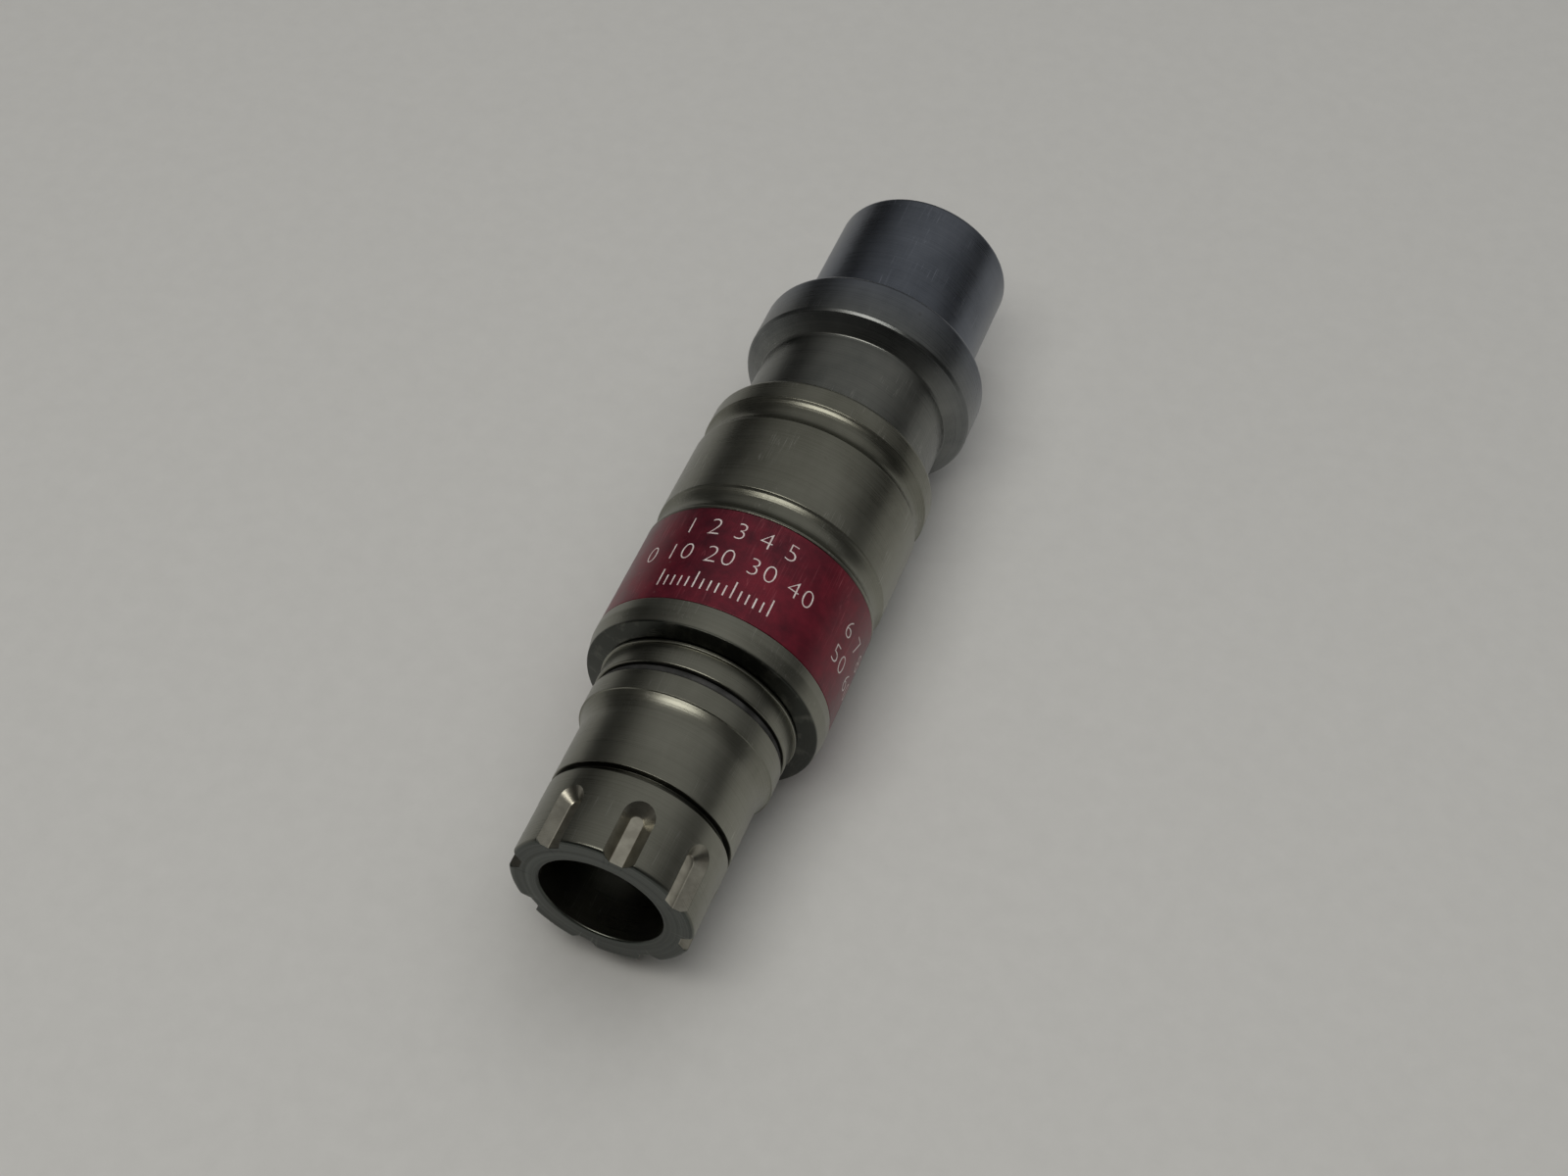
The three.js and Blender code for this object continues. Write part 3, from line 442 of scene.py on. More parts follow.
def break_edges(obj, width, segments=2):
    """Rounds the sharp edges that a cut leaves."""
    bevel = obj.modifiers.new("edges", "BEVEL")
    bevel.width = width * MM
    bevel.segments = segments
    bevel.limit_method = "ANGLE"
    bevel.angle_limit = math.radians(35)
    applied(obj)
    sharpened(obj)


def sharpened(obj):
    """Smooth shading between the sharp edges of a cut piece."""
    obj.data.shade_smooth()
    obj.data.set_sharp_from_angle(angle=math.radians(40))
    weighted = obj.modifiers.new("normals", "WEIGHTED_NORMAL")
    weighted.keep_sharp = True
    weighted.weight = 80


def block(name, z_reach, x_reach, start, end):
    """A rectangular bar between two stations."""
    (near, far), (left, right) = z_reach, x_reach
    return prism(name, [(near, left), (far, left), (far, right), (near, right)], start, end)


# ---------------- materials

class Look:
    """A procedural material in the making: short ways to add and join its nodes."""

    def __init__(self, name):
        self.material = bpy.data.materials.new(name)
        self.material.use_nodes = True
        self.tree = self.material.node_tree
        self.shader = self.tree.nodes["Principled BSDF"]
        self.position = self.add("ShaderNodeTexCoord").outputs["Object"]
        self.x, self.y, self.z = self.add("ShaderNodeSeparateXYZ", {0: self.position}).outputs

    def feed(self, socket, value):
        """Links an output to a socket, or sets the socket's own number or colour."""
        if isinstance(value, bpy.types.NodeSocket):
            self.tree.links.new(value, socket)
        else:
            socket.default_value = value

    def add(self, kind, inputs=None, **settings):
        node = self.tree.nodes.new(kind)
        for key, value in settings.items():
            setattr(node, key, value)
        for key, value in (inputs or {}).items():
            self.feed(node.inputs[key], value)
        return node

    def set(self, **values):
        for key, value in values.items():
            self.shader.inputs[key.replace("_", " ")].default_value = value

    def join(self, output, socket):
        self.tree.links.new(output, self.shader.inputs[socket])

    def math(self, operation, first, second=0.0, clamp=False):
        inputs = {0: first, 1: second}
        return self.add("ShaderNodeMath", inputs, operation=operation, use_clamp=clamp).outputs[0]

    def times(self, first, second):
        return self.math("MULTIPLY", first, second)

    def mixture(self, first, share, second, other_share):
        """The sum of two outputs, each times its share."""
        return self.math("ADD", self.times(first, share), self.times(second, other_share))

    def scaled(self, scale, turn=(0, 0, 0)):
        """The position, scaled along each axis, for stretched patterns."""
        inputs = {"Vector": self.position, "Scale": scale, "Rotation": turn}
        return self.add("ShaderNodeMapping", inputs).outputs["Vector"]

    def noise(self, vector, scale, detail, roughness=0.5):
        node = self.add("ShaderNodeTexNoise", {
            "Vector": vector, "Scale": scale, "Detail": detail, "Roughness": roughness})
        return node.outputs["Fac"]

    def patches(self, scale, detail=4.0, roughness=0.6):
        """Noise of the same size along every axis."""
        return self.noise(self.position, scale, detail, roughness)

    def ramp(self, value, low, high, to_low=0.0, to_high=1.0):
        node = self.add("ShaderNodeMapRange", {
            "Value": value, "From Min": low, "From Max": high, "To Min": to_low, "To Max": to_high})
        return node.outputs["Result"]

    def blend(self, amount, first, second, kind="MIX"):
        """Mixes two colours, each an RGB colour or an output."""
        node = self.add("ShaderNodeMix", data_type="RGBA", blend_type=kind)
        for index, value in zip((0, 6, 7), (amount, first, second)):
            self.feed(node.inputs[index], (*value, 1.0) if isinstance(value, tuple) else value)
        return node.outputs[2]

    def bump(self, height, strength, distance):
        inputs = {"Height": height, "Strength": strength, "Distance": distance}
        self.join(self.add("ShaderNodeBump", inputs).outputs["Normal"], "Normal")

    def shaft_radius(self):
        """Distance from the shaft axis, in metres."""
        flat = self.add("ShaderNodeCombineXYZ", {"X": self.x, "Z": self.z}).outputs[0]
        return self.add("ShaderNodeVectorMath", {0: flat}, operation="LENGTH").outputs["Value"]

    def between(self, value, low, high, soft):
        """One between two limits and zero outside them, with soft edges."""
        rising = self.ramp(value, low - soft, low + soft)
        falling = self.ramp(value, high - soft, high + soft, 1.0, 0.0)
        return self.times(rising, falling)

    def turning_marks(self, pitch):
        """Fine rings about the shaft axis, on cylinders and on end faces alike."""
        travel = self.math("ADD", self.shaft_radius(), self.y)
        fine = self.times(travel, 1 / (pitch * MM))
        drift = 25.0
        vector = self.add("ShaderNodeCombineXYZ", {
            "X": self.times(self.x, drift), "Y": fine, "Z": self.times(self.z, drift)})
        return self.noise(vector.outputs[0], 1.0, 4.0, 0.6)

    def scratches(self, turn, length=55.0, width=2600.0, amount=0.012):
        """Hairlines: the thin band where a stretched noise passes through its middle value."""
        field = self.noise(self.scaled((width, length, width), turn), 1.0, 1.0, 0.4)
        from_middle = self.math("ABSOLUTE", self.math("SUBTRACT", field, 0.5))
        line = self.ramp(from_middle, 0.0, amount, 1.0, 0.0)
        patchy = self.ramp(self.noise(self.scaled((150, 150, 150), turn), 1.0, 2.0), 0.52, 0.62)
        return self.times(line, patchy)

    def specks(self, spacing, size):
        """Scattered tiny pits and stains."""
        cells = self.add("ShaderNodeTexVoronoi", {
            "Vector": self.position, "Scale": 1 / (spacing * MM), "Randomness": 1.0})
        spot = self.ramp(cells.outputs["Distance"], 0.0, size / spacing, 1.0, 0.0)
        chosen = self.ramp(self.patches(210, 2.0, 0.5), 0.56, 0.66)
        return self.times(spot, chosen)


def turned_steel(name, light, dark, roughness, pitch=0.09, marks=0.2, wear=1.0, anisotropy=0.45,
                 overlay=None):
    """Machined steel: turning rings, cloudy tint, hairlines, stains and uneven polish."""
    look = Look(name)
    rings = look.turning_marks(pitch)
    broad_rings = look.turning_marks(pitch * 9)
    clouds = look.noise(look.scaled((90, 60, 90)), 1.0, 4.0, 0.6)
    hairlines = look.scratches((0.5, 0.3, 0.9))
    specks = look.specks(4.5, 0.45)
    tint = look.blend(look.ramp(look.mixture(clouds, 0.65, rings, 0.35), 0.36, 0.64), dark, light)
    tint = look.blend(look.times(hairlines, 0.35 * wear), tint, (0.75, 0.74, 0.7))
    tint = look.blend(look.times(specks, 0.8 * wear), tint, (0.06, 0.04, 0.02))
    if overlay:
        tint = overlay(look, tint)
    look.join(tint, "Base Color")
    polish = look.math("ADD", look.mixture(rings, 0.16, clouds, 0.14), roughness - 0.15)
    look.join(look.math("ADD", polish, look.times(specks, 0.3), clamp=True), "Roughness")
    look.set(Metallic=1.0, Anisotropic=anisotropy)
    tangent = look.add("ShaderNodeTangent", direction_type="RADIAL", axis="Y")
    look.join(tangent.outputs[0], "Tangent")
    raised = look.math("ADD", rings, look.times(broad_rings, 1.2))
    sunk = look.times(look.math("ADD", hairlines, specks), 0.6)
    look.bump(look.math("SUBTRACT", raised, sunk), marks, 0.02 * MM)
    return look.material


def slots_and_painted_shade(look, tint):
    """On the barrel: bare milled slots with painted shade on their walls, painted shade on the end
    face and in the latch groove.
    """
    input_end, slot_end = shaft_y(0), shaft_y(SLOT_LENGTH + 0.5)
    radius = look.shaft_radius()
    smudge = look.ramp(look.patches(500), 0.35, 0.65)
    # painted shade: a dark, patchy tone that darkens the slot walls and the latch groove
    painted_shade_tone = look.blend(smudge, (0.035, 0.035, 0.03), (0.075, 0.075, 0.065))

    # painted shade: the input end face is darkened to a dark tone, with facing marks in it
    facing_marks = look.ramp(look.turning_marks(0.5), 0.38, 0.62)
    painted_end_shade = look.blend(facing_marks, (0.025, 0.03, 0.03), (0.075, 0.086, 0.082))
    shaded_end_mask = look.ramp(look.y, input_end + 0.1 * MM, input_end + 0.5 * MM, 0.85, 0.0)
    tint = look.blend(shaded_end_mask, tint, painted_end_shade)

    # the slots, without the chamfer of the rim that they run out through
    floor_radius = BARREL_RADIUS - SLOT_DEPTH
    below_surface = look.between(
        radius, (floor_radius - 0.06) * MM, (BARREL_RADIUS - 0.06) * MM, 0.03 * MM)
    before_slot_end = look.ramp(look.y, slot_end - 0.1 * MM, slot_end + 0.1 * MM, 1.0, 0.0)
    rim = look.ramp(radius, (BARREL_RADIUS - 0.6) * MM, BARREL_RADIUS * MM,
                    input_end + 0.05 * MM, input_end + 0.6 * MM)
    inside_rim = look.math("GREATER_THAN", look.y, rim)
    milled = look.times(look.times(below_surface, before_slot_end), inside_rim)
    # painted shade on the slot walls: above the floor they are blended part way to the dark tone
    wall = look.ramp(radius, (floor_radius + 0.08) * MM, (floor_radius + 0.16) * MM)
    bare = look.blend(smudge, (0.42, 0.40, 0.34), (0.58, 0.56, 0.48))
    tint = look.blend(milled, tint, look.blend(look.times(wall, 0.45), bare, painted_shade_tone))

    # painted shade in the latch groove, blended most of the way to the dark tone
    in_groove = look.between(look.y, *map(shaft_y, LATCH_GROOVE), 0.04 * MM)
    sunk = look.ramp(radius, (BARREL_RADIUS - 0.3) * MM, (BARREL_RADIUS - 0.1) * MM, 1.0, 0.0)
    return look.blend(look.times(look.times(in_groove, sunk), 0.85), tint, painted_shade_tone)


def painted_shade_on_rear_face(look, tint):
    """On the housing: ragged painted shade on the face round the barrel."""
    lip = shaft_y(HOUSING_LIP)
    # painted shade: the face round the barrel is darkened, raggedly
    face = look.ramp(look.y, lip + 0.05 * MM, lip + 0.35 * MM, 1.0, 0.0)
    ragged = look.ramp(look.patches(380), 0.3, 0.5, 0.6, 0.9)
    return look.blend(look.times(face, ragged), tint, (0.03, 0.033, 0.03))


def bluer_nose(look, tint):
    """On the sleeve: the steel turns bluer and darker from the neck to the nose."""
    to_nose = look.ramp(look.y, shaft_y(NECK_END), shaft_y(FLANGE[1] + 1))
    return look.blend(to_nose, tint, (0.86, 0.92, 1.17), "MULTIPLY")


def band_enamel():
    """Crimson colour band: mottled, speckled, finely scratched along and across."""
    look = Look("red_band")
    rings = look.turning_marks(0.16)
    mottle = look.patches(420, 5.0, 0.65)
    clouds = look.patches(70, 3.0, 0.5)
    lengthwise = look.scratches((0.1, 0.0, 0.05), 30.0, 1500.0, 0.016)
    crosswise = look.scratches((0.9, 0.4, 0.2), 90.0, 2400.0, 0.014)
    scratches = look.math("ADD", lengthwise, crosswise)
    tone = look.ramp(look.mixture(mottle, 0.5, clouds, 0.5), 0.38, 0.62)
    crimson = look.blend(tone, (0.07, 0.004, 0.014), (0.19, 0.010, 0.027))
    crimson = look.blend(look.times(scratches, 0.35), crimson, (0.45, 0.12, 0.15))
    crimson = look.blend(look.times(look.specks(2.2, 0.28), 0.5), crimson, (0.5, 0.3, 0.3))
    look.join(crimson, "Base Color")
    polish = look.mixture(mottle, 0.25, rings, 0.1)
    look.join(look.math("ADD", polish, 0.22, clamp=True), "Roughness")
    look.set(Metallic=0.45, Coat_Weight=0.15, Coat_Roughness=0.3)
    height = look.math("SUBTRACT", look.math("ADD", mottle, rings), scratches)
    look.bump(height, 0.12, 0.02 * MM)
    return look.material


def grained(name, dark, light, roughness, grain_scale, patch_scale, metallic=0.0):
    """A fine-grained surface with soft patches: paint, rubber, brass or sintered bronze."""
    look = Look(name)
    grain = look.patches(grain_scale, 4.0, 0.65)
    look.join(look.blend(look.ramp(look.patches(patch_scale), 0.38, 0.66), dark, light), "Base Color")
    look.join(look.ramp(grain, 0.3, 0.7, roughness - 0.1, roughness + 0.12), "Roughness")
    look.set(Metallic=metallic)
    look.bump(grain, 0.25, 0.015 * MM)
    return look.material


SATIN = {"light": (0.285, 0.285, 0.245), "dark": (0.18, 0.18, 0.15), "roughness": 0.30}

LOOKS = {
    "satin_steel": turned_steel("satin_steel", **SATIN),
    "dark_steel": turned_steel(
        "dark_steel", (0.22, 0.225, 0.21), (0.12, 0.125, 0.12), 0.29,
        pitch=0.11, marks=0.15, wear=0.85, anisotropy=0.4, overlay=bluer_nose),
    "hardened_steel": turned_steel(
        "hardened_steel", (0.50, 0.50, 0.51), (0.36, 0.36, 0.38), 0.27, pitch=0.07, marks=0.15),
    "bright_steel": turned_steel(
        "bright_steel", (0.66, 0.66, 0.66), (0.56, 0.56, 0.57), 0.16,
        pitch=0.05, marks=0.06, wear=0.4),
    "spring_steel": turned_steel(
        "spring_steel", (0.36, 0.36, 0.35), (0.22, 0.22, 0.22), 0.3, pitch=0.12),
    "bronze": grained("bronze", (0.42, 0.25, 0.11), (0.62, 0.40, 0.19), 0.42, 1800, 160, 1.0),
    "cage_brass": grained("cage_brass", (0.54, 0.39, 0.16), (0.70, 0.54, 0.26), 0.32, 1800, 160, 1.0),
    "black_rubber": grained("black_rubber", (0.012,) * 3, (0.045,) * 3, 0.67, 2500, 300),
    "red_band": band_enamel(),
}


# ---------------- pieces on the frame

def dress(obj, body, slot):
    """Gives a piece its material and slot, and lets it ride on a body."""
    obj.data.materials.clear()
    obj.data.materials.append(LOOKS[slot])
    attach(obj, body)


def stand_for(obj, node, slot=None):
    """The piece takes a CAD node's place, with its body and its material slot."""
    dress(obj, NODES[node]["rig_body"], slot or SLOT_OF[node])
    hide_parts(node)


def machine(obj, tools, edge, node, segments=2):
    """Cuts a piece, breaks its edges and puts it in a CAD node's place."""
    cut(obj, tools)
    break_edges(obj, edge, segments)
    stand_for(obj, node)


def radius_of_arc(half_chord, rise):
    """Radius of the circle whose arc rises by this much over half of its chord."""
    return (half_chord ** 2 + rise ** 2) / (2 * rise)


def finger_cove(start, end):
    """Corners of a shallow round dip in the body."""
    steps = 12
    half = (end - start) / 2
    arc = radius_of_arc(half, FINGER_COVE_DEPTH)
    corners = []
    for step, along in enumerate(spread(-half, half, steps)):
        fall = math.sqrt(arc ** 2 - along ** 2) - (arc - FINGER_COVE_DEPTH)
        fillet = 0.25 if step in (0, steps) else 0.0
        corners.append((BODY_RADIUS - fall, start + half + along, fillet))
    return corners


def bayonet_slot(angle):
    """The solid that cuts one slot: it widens upwards, is open at the rim and round inside."""
    over_run = 1.2
    straight_end = SLOT_LENGTH - SLOT_WIDTH / 2
    slope = (SLOT_WIDTH - SLOT_FLOOR_WIDTH) / (2 * SLOT_DEPTH)
    turned_to = Matrix.Rotation(angle, 3, "Y")

    def outline(height):
        half = SLOT_FLOOR_WIDTH / 2 + slope * height
        radius = (BARREL_RADIUS - SLOT_DEPTH + height) * MM
        flat = [(-half, -over_run), (half, -over_run)]
        for x, y in (polar(half, turn) for turn in spread(0, math.pi, 20)):
            flat.append((x, straight_end + y))
        return [turned_to @ Vector((x * MM, shaft_y(station), radius)) for x, station in flat]

    return loft("slot_cutter", outline(0), outline(SLOT_DEPTH + OVER_RUN))


def ring_fillet():
    """Corners of the concave fillet that lifts the barrel up to the foot of the rear ring."""
    rise = RING_RADIUS - RING_STEP - BARREL_RADIUS
    length = REAR_RING[0] - RING_FILLET_START
    arc = radius_of_arc(length, rise)
    return [
        (BARREL_RADIUS + arc - math.sqrt(arc ** 2 - along ** 2), RING_FILLET_START + along, 0.0)
        for along in spread(0, length, 8)
    ]


def make_barrel():
    bearing_bore = BEARINGS["input_bearing"][1]
    bearing_seat = 23.9
    plug_start, plug_end = HOUSING_FACE - 0.1, stations("bayonet_barrel")[1]
    land_start, land_radius = HOUSING_FACE - LAND_LIP_WIDTH, RING_RADIUS + LAND_LIP_HEIGHT
    taper = 0.08
    barrel = turned("barrel_body", [
        (BARREL_BORE, 0, 0.35), (BARREL_RADIUS, 0, 0.55),
        (BARREL_RADIUS, LATCH_GROOVE[0], 0.1), (LATCH_GROOVE_RADIUS, LATCH_GROOVE[0] + taper, 0.1),
        (LATCH_GROOVE_RADIUS, LATCH_GROOVE[1] - taper, 0.1), (BARREL_RADIUS, LATCH_GROOVE[1], 0.1),
        *ring_fillet(), (RING_RADIUS, REAR_RING[0] + 0.05, 0.09),
        (RING_RADIUS, REAR_RING[1], 0.2), (ORING_FLOOR, ORING_GROOVE[0], 0.1),
        (ORING_FLOOR, ORING_GROOVE[1], 0.1), (RING_RADIUS, ORING_GROOVE[1], 0.25),
        (RING_RADIUS, land_start, 0.0), (land_radius, land_start, 0.2),
        (land_radius, plug_start, 0.05), (PLUG_RADIUS, plug_start, 0.0),
        (PLUG_RADIUS, plug_end, 0.5), (bearing_bore, plug_end, 0.3),
        *reversed(clip_groove("input_retaining_ring", bearing_bore, bearing_bore + 0.6)),
        (bearing_bore, bearing_seat, 0.1), (BARREL_BORE, bearing_seat, 0.2),
    ], OUTER_SIDES)
    slots = [bayonet_slot(angle) for angle in around(SLOT_COUNT, SLOT_PHASE)]
    machine(barrel, slots, 0.1, "bayonet_barrel")
    barrel.data.materials[0] = turned_steel("barrel_steel", **SATIN, overlay=slots_and_painted_shade)


def make_oring():
    node = "barrel_oring"
    start, end = stations(node)
    section = (end - start) / 2
    middle = (start + end) / 2
    centre = outer_radius(node) - section
    round_section = [(centre + across, middle + along, 0.0) for across, along in circle(section, 24)]
    stand_for(turned("oring_rubber", round_section, OUTER_SIDES), node)


def make_housing():
    band_floor = BODY_RADIUS - BAND_DEPTH
    chamber = PLUG_RADIUS + 0.1
    bearing_stop = 9.6
    housing = turned("housing_shell", [
        (chamber, HOUSING_FACE, 0.15), (HOUSING_LIP_RADIUS, HOUSING_LIP, 0.2),
        (BODY_RADIUS, HOUSING_TAPER, 1.6), (BODY_RADIUS, BAND[0], 0.13), (band_floor, BAND[0], 0.0),
        (band_floor, BAND[1], 0.0), (BODY_RADIUS, BAND[1], 0.13),
        *finger_cove(*FINGER_COVES[0]), *finger_cove(*FINGER_COVES[1]),
        (BODY_RADIUS, HOUSING_END, 0.75), (MOUTH_RADIUS, HOUSING_END, 0.2),
        (MOUTH_RADIUS, MOUTH_START, 0.1), (BEARING_SEAT, MOUTH_START, 0.1),
        *reversed(clip_groove("front_retaining_ring", BEARING_SEAT, BEARING_SEAT + 0.6)),
        (BEARING_SEAT, BEARING_STOP_END, 0.1),
        (bearing_stop, BEARING_STOP_END, 0.1), (bearing_stop, CHAMBER_END, 0.1),
        (chamber, CHAMBER_END, 0.1),
    ], OUTER_SIDES)
    cut(housing, [dowel_tool(angle, 0.12) for angle in DOWEL_ANGLES])
    sharpened(housing)
    stand_for(housing, "gear_housing")
    housing.data.materials[0] = turned_steel("housing_steel", **SATIN, overlay=painted_shade_on_rear_face)


def make_band():
    inner, outer = BODY_RADIUS - BAND_DEPTH + 0.04, BODY_RADIUS - 0.03
    band = collar("band_enamel", inner, outer, BAND[0] + 0.05, BAND[1] - 0.05, 0.1, OUTER_SIDES)
    stand_for(band, "colour_band")


def key_slot():
    """The solid that cuts the slot which slides over the key pin."""
    half = KEY_PIN_RADIUS + 0.2
    end = KEY_PIN_STATION + half + SLEEVE_TRAVEL
    slot = block("key_slot", (0, 9.8), (-half, half), SPRING_SHOULDER - 2, end)
    slot.data.transform(Matrix.Rotation(KEY_PIN_ANGLE, 4, "Y"))
    return slot


def make_sleeve():
    cam_seat = 10.7
    cam_start = 101.2
    cone_end = FLANGE[0] + 0.3
    sleeve = turned("sleeve_turned", [
        (SKIRT_BORE, SLEEVE_START, 0.2), (NECK_RADIUS, SLEEVE_START, 0.3),
        (NECK_RADIUS, NECK_END + 0.4, 0.55), (FLANGE_RADIUS - 0.25, cone_end - 0.4, 0.3),
        (FLANGE_RADIUS, cone_end, 0.3), (FLANGE_RADIUS, FLANGE[1], 0.9),
        (NOSE_RADIUS, FLANGE[1], 0.45), (NOSE_RADIUS, SLEEVE_END, 1.3), (cam_seat, SLEEVE_END, 0.3),
        (cam_seat, cam_start, 0.1), (SLIDE_BORE, cam_start, 0.1), (SLIDE_BORE, SPRING_SHOULDER, 0.2),
        (SKIRT_BORE, SPRING_SHOULDER, 0.2),
    ], OUTER_SIDES, 8)
    cut(sleeve, [key_slot()])
    sharpened(sleeve)
    stand_for(sleeve, "release_sleeve")


# ---------------- chuck

def radial_rod(name, inner, outer, station, angle, radius, sides=32):
    return rod(name, place(inner, station, angle), place(outer, station, angle), radius, sides)


def clip_groove(node, surface, floor):
    """Corners of the groove that holds a retaining ring."""
    start, end = stations(node)
    start -= CLIP_PLAY
    end += CLIP_PLAY
    return [(surface, start, 0.05), (floor, start, 0.05), (floor, end, 0.05), (surface, end, 0.05)]


def square_drive():
    faces = (-SQUARE_DRIVE / 2, SQUARE_DRIVE / 2)
    return block("square_cutter", faces, faces, SQUARE_START, SOCKET_START + OVER_RUN)


def spigot_flats():
    far = 2 * SPIGOT_RADIUS
    return [
        block("flat_cutter", reach, (-far, far), SPINDLE_START - OVER_RUN, JOURNAL[0])
        for reach in ((SPIGOT_FLAT, far), (-far, -SPIGOT_FLAT))
    ]


def make_spindle():
    spindle = turned("spindle_turned", [
        (0, SPINDLE_START, 0), (SPIGOT_RADIUS, SPINDLE_START, 0.3), (SPIGOT_RADIUS, JOURNAL[0], 0.1),
        (JOURNAL_RADIUS, JOURNAL[0], 0.25), (JOURNAL_RADIUS, JOURNAL[1], 0.15),
        (SPINDLE_RADIUS, JOURNAL[1], 0.3), (SPINDLE_RADIUS, SPRING_COLLAR[0], 0.3),
        (SPRING_COLLAR_RADIUS, SPRING_COLLAR[0], 0.3), (SPRING_COLLAR_RADIUS, SPRING_COLLAR[1], 0.3),
        (SPINDLE_RADIUS, SPRING_COLLAR[1], 0.1),
        *clip_groove("nose_retaining_ring", SPINDLE_RADIUS, SPINDLE_RADIUS - 0.7),
        (SPINDLE_RADIUS, SPINDLE_END, 0.35), (SOCKET_RADIUS + 0.55, SPINDLE_END, 0.15),
        (SOCKET_RADIUS, SPINDLE_END - 0.6, 0.2), (SOCKET_RADIUS, SOCKET_START, 0.1),
        (0, SOCKET_START - 1.5, 0),
    ])
    tools = [square_drive(), *spigot_flats()]
    outside = SPINDLE_RADIUS + OVER_RUN
    tools.append(radial_rod("key_hole", KEY_PIN_ENDS[0] - 0.1, outside, KEY_PIN_STATION,
                            KEY_PIN_ANGLE, KEY_PIN_RADIUS + 0.05))
    screw_hole_radius, screw_hole_depth = 1.6, 9
    tools.append(bore_tool(
        screw_hole_radius, SPINDLE_START - OVER_RUN, SPINDLE_START + screw_hole_depth, 32))
    for angle in around(LOCK_BALL_COUNT):
        throat = (SOCKET_RADIUS - OVER_RUN, LOCK_BALL_RADIUS - 0.25)
        hole = (SOCKET_RADIUS + 0.6, LOCK_BALL_RADIUS + 0.1)
        for inside, radius in (throat, hole):
            tools.append(radial_rod("ball_hole", inside, outside, LOCK_STATION, angle, radius, 48))
    machine(spindle, tools, 0.06, "output_spindle")


def make_cam_ring():
    node = "lock_cam_ring"
    start, end = stations(node)
    ramp_end = CAM_RAMP + (CAM_RELIEF - SLIDE_BORE) * SLEEVE_TRAVEL / LOCK_BALL_LIFT
    cam = turned("cam_hardened_ring", [
        (SLIDE_BORE, start, 0.15), (outer_radius(node), start, 0.3), (outer_radius(node), end, 0.4),
        (CAM_RELIEF, end, 0.3), (CAM_RELIEF, ramp_end, 0.6), (SLIDE_BORE, CAM_RAMP, 0.6),
    ])
    stand_for(cam, node)


def ball(name, radius, rings):
    """A ground ball, turned from a half circle about the shaft axis, centred on the origin."""
    arc = (polar(radius, turn) for turn in spread(0, math.pi, rings))
    return turned(name, [(across, LENGTH / 2 - along, 0) for along, across in arc], 2 * rings)


def make_lock_balls():
    for number, angle in enumerate(around(LOCK_BALL_COUNT), 1):
        lock_ball = ball(f"lock_ball_ground_{number}", LOCK_BALL_RADIUS, 28)
        shifted(lock_ball, place(LOCK_BALL_CENTRE, LOCK_STATION, angle))
        stand_for(lock_ball, f"lock_ball_{number}")


def make_clip(node):
    """A spring-steel ring with a gap, its ends rounded and its edges broken."""
    inner, outer, gap, gap_angle = CLIPS[node]
    middle = (inner + outer) / 2
    half_width = (outer - inner) / 2
    half_gap = (gap / 2 + half_width) / middle
    first, last = gap_angle + half_gap, gap_angle - half_gap + 2 * math.pi
    clip = prism(f"{node}_spring", [
        *(polar(outer, angle) for angle in spread(first, last, 96)),
        *clip_end(middle, half_width, last, 1),
        *(polar(inner, angle) for angle in spread(last, first, 96)),
        *clip_end(middle, half_width, first, -1),
    ], *stations(node))
    machine(clip, [], 0.12, node)


def clip_end(middle, half_width, angle, side):
    """The half circle that rounds one end of a retaining ring, as points of its outline."""
    radial = Vector(polar(1, angle))
    onward = Vector(polar(1, angle + math.pi / 2))
    return [
        tuple(radial * (middle + side * across) + onward * side * along)
        for across, along in (polar(half_width, turn) for turn in spread(0, math.pi, 10)[1:-1])
    ]


def make_spring():
    """A round-wire compression spring whose end turns lie closer, as on a ground spring."""
    node = "sleeve_spring"
    start, end = stations(node)
    start += SPRING_WIRE
    end -= SPRING_WIRE
    section = circle(SPRING_WIRE * MM, 16)
    along = Vector((0, 1, 0))
    bm = bmesh.new()
    rows = []
    for part in spread(0, 1, 48 * SPRING_TURNS):
        eased = part - 0.09 * math.sin(2 * math.pi * part)
        angle = 2 * math.pi * SPRING_TURNS * part
        outward = Vector((math.sin(angle), 0, math.cos(angle)))
        centre = place(SPRING_COIL_RADIUS, start + (end - start) * eased, angle)
        rows.append([bm.verts.new(centre + outward * x + along * y) for x, y in section])
    for lower, upper in zip(rows, rows[1:]):
        for side in range(len(section)):
            bm.faces.new((lower[side - 1], lower[side], upper[side], upper[side - 1]))
    bm.faces.new(rows[0])
    bm.faces.new(rows[-1])
    spring = object_from_bmesh("sleeve_spring_coil", bm)
    stand_for(spring, node)
    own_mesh(spring)


def make_key_pin():
    inner, outer = KEY_PIN_ENDS
    pin = radial_rod(
        "sleeve_key_dowel", inner, outer, KEY_PIN_STATION, KEY_PIN_ANGLE, KEY_PIN_RADIUS, 40)
    machine(pin, [], 0.2, "sleeve_key_pin", 3)


# ---------------- gears and input shaft

def tooth_half_angle(radius, teeth, thinning):
    """Half the angle that a tooth covers at a radius, on the involute of its base circle."""
    pitch_radius = MODULE * teeth / 2
    base_radius = pitch_radius * math.cos(PRESSURE_ANGLE)
    local = math.acos(min(1.0, base_radius / max(radius, base_radius)))
    at_pitch = math.pi / (2 * teeth) - thinning / (2 * pitch_radius)
    involute_at_pitch = math.tan(PRESSURE_ANGLE) - PRESSURE_ANGLE
    return at_pitch + involute_at_pitch - (math.tan(local) - local)


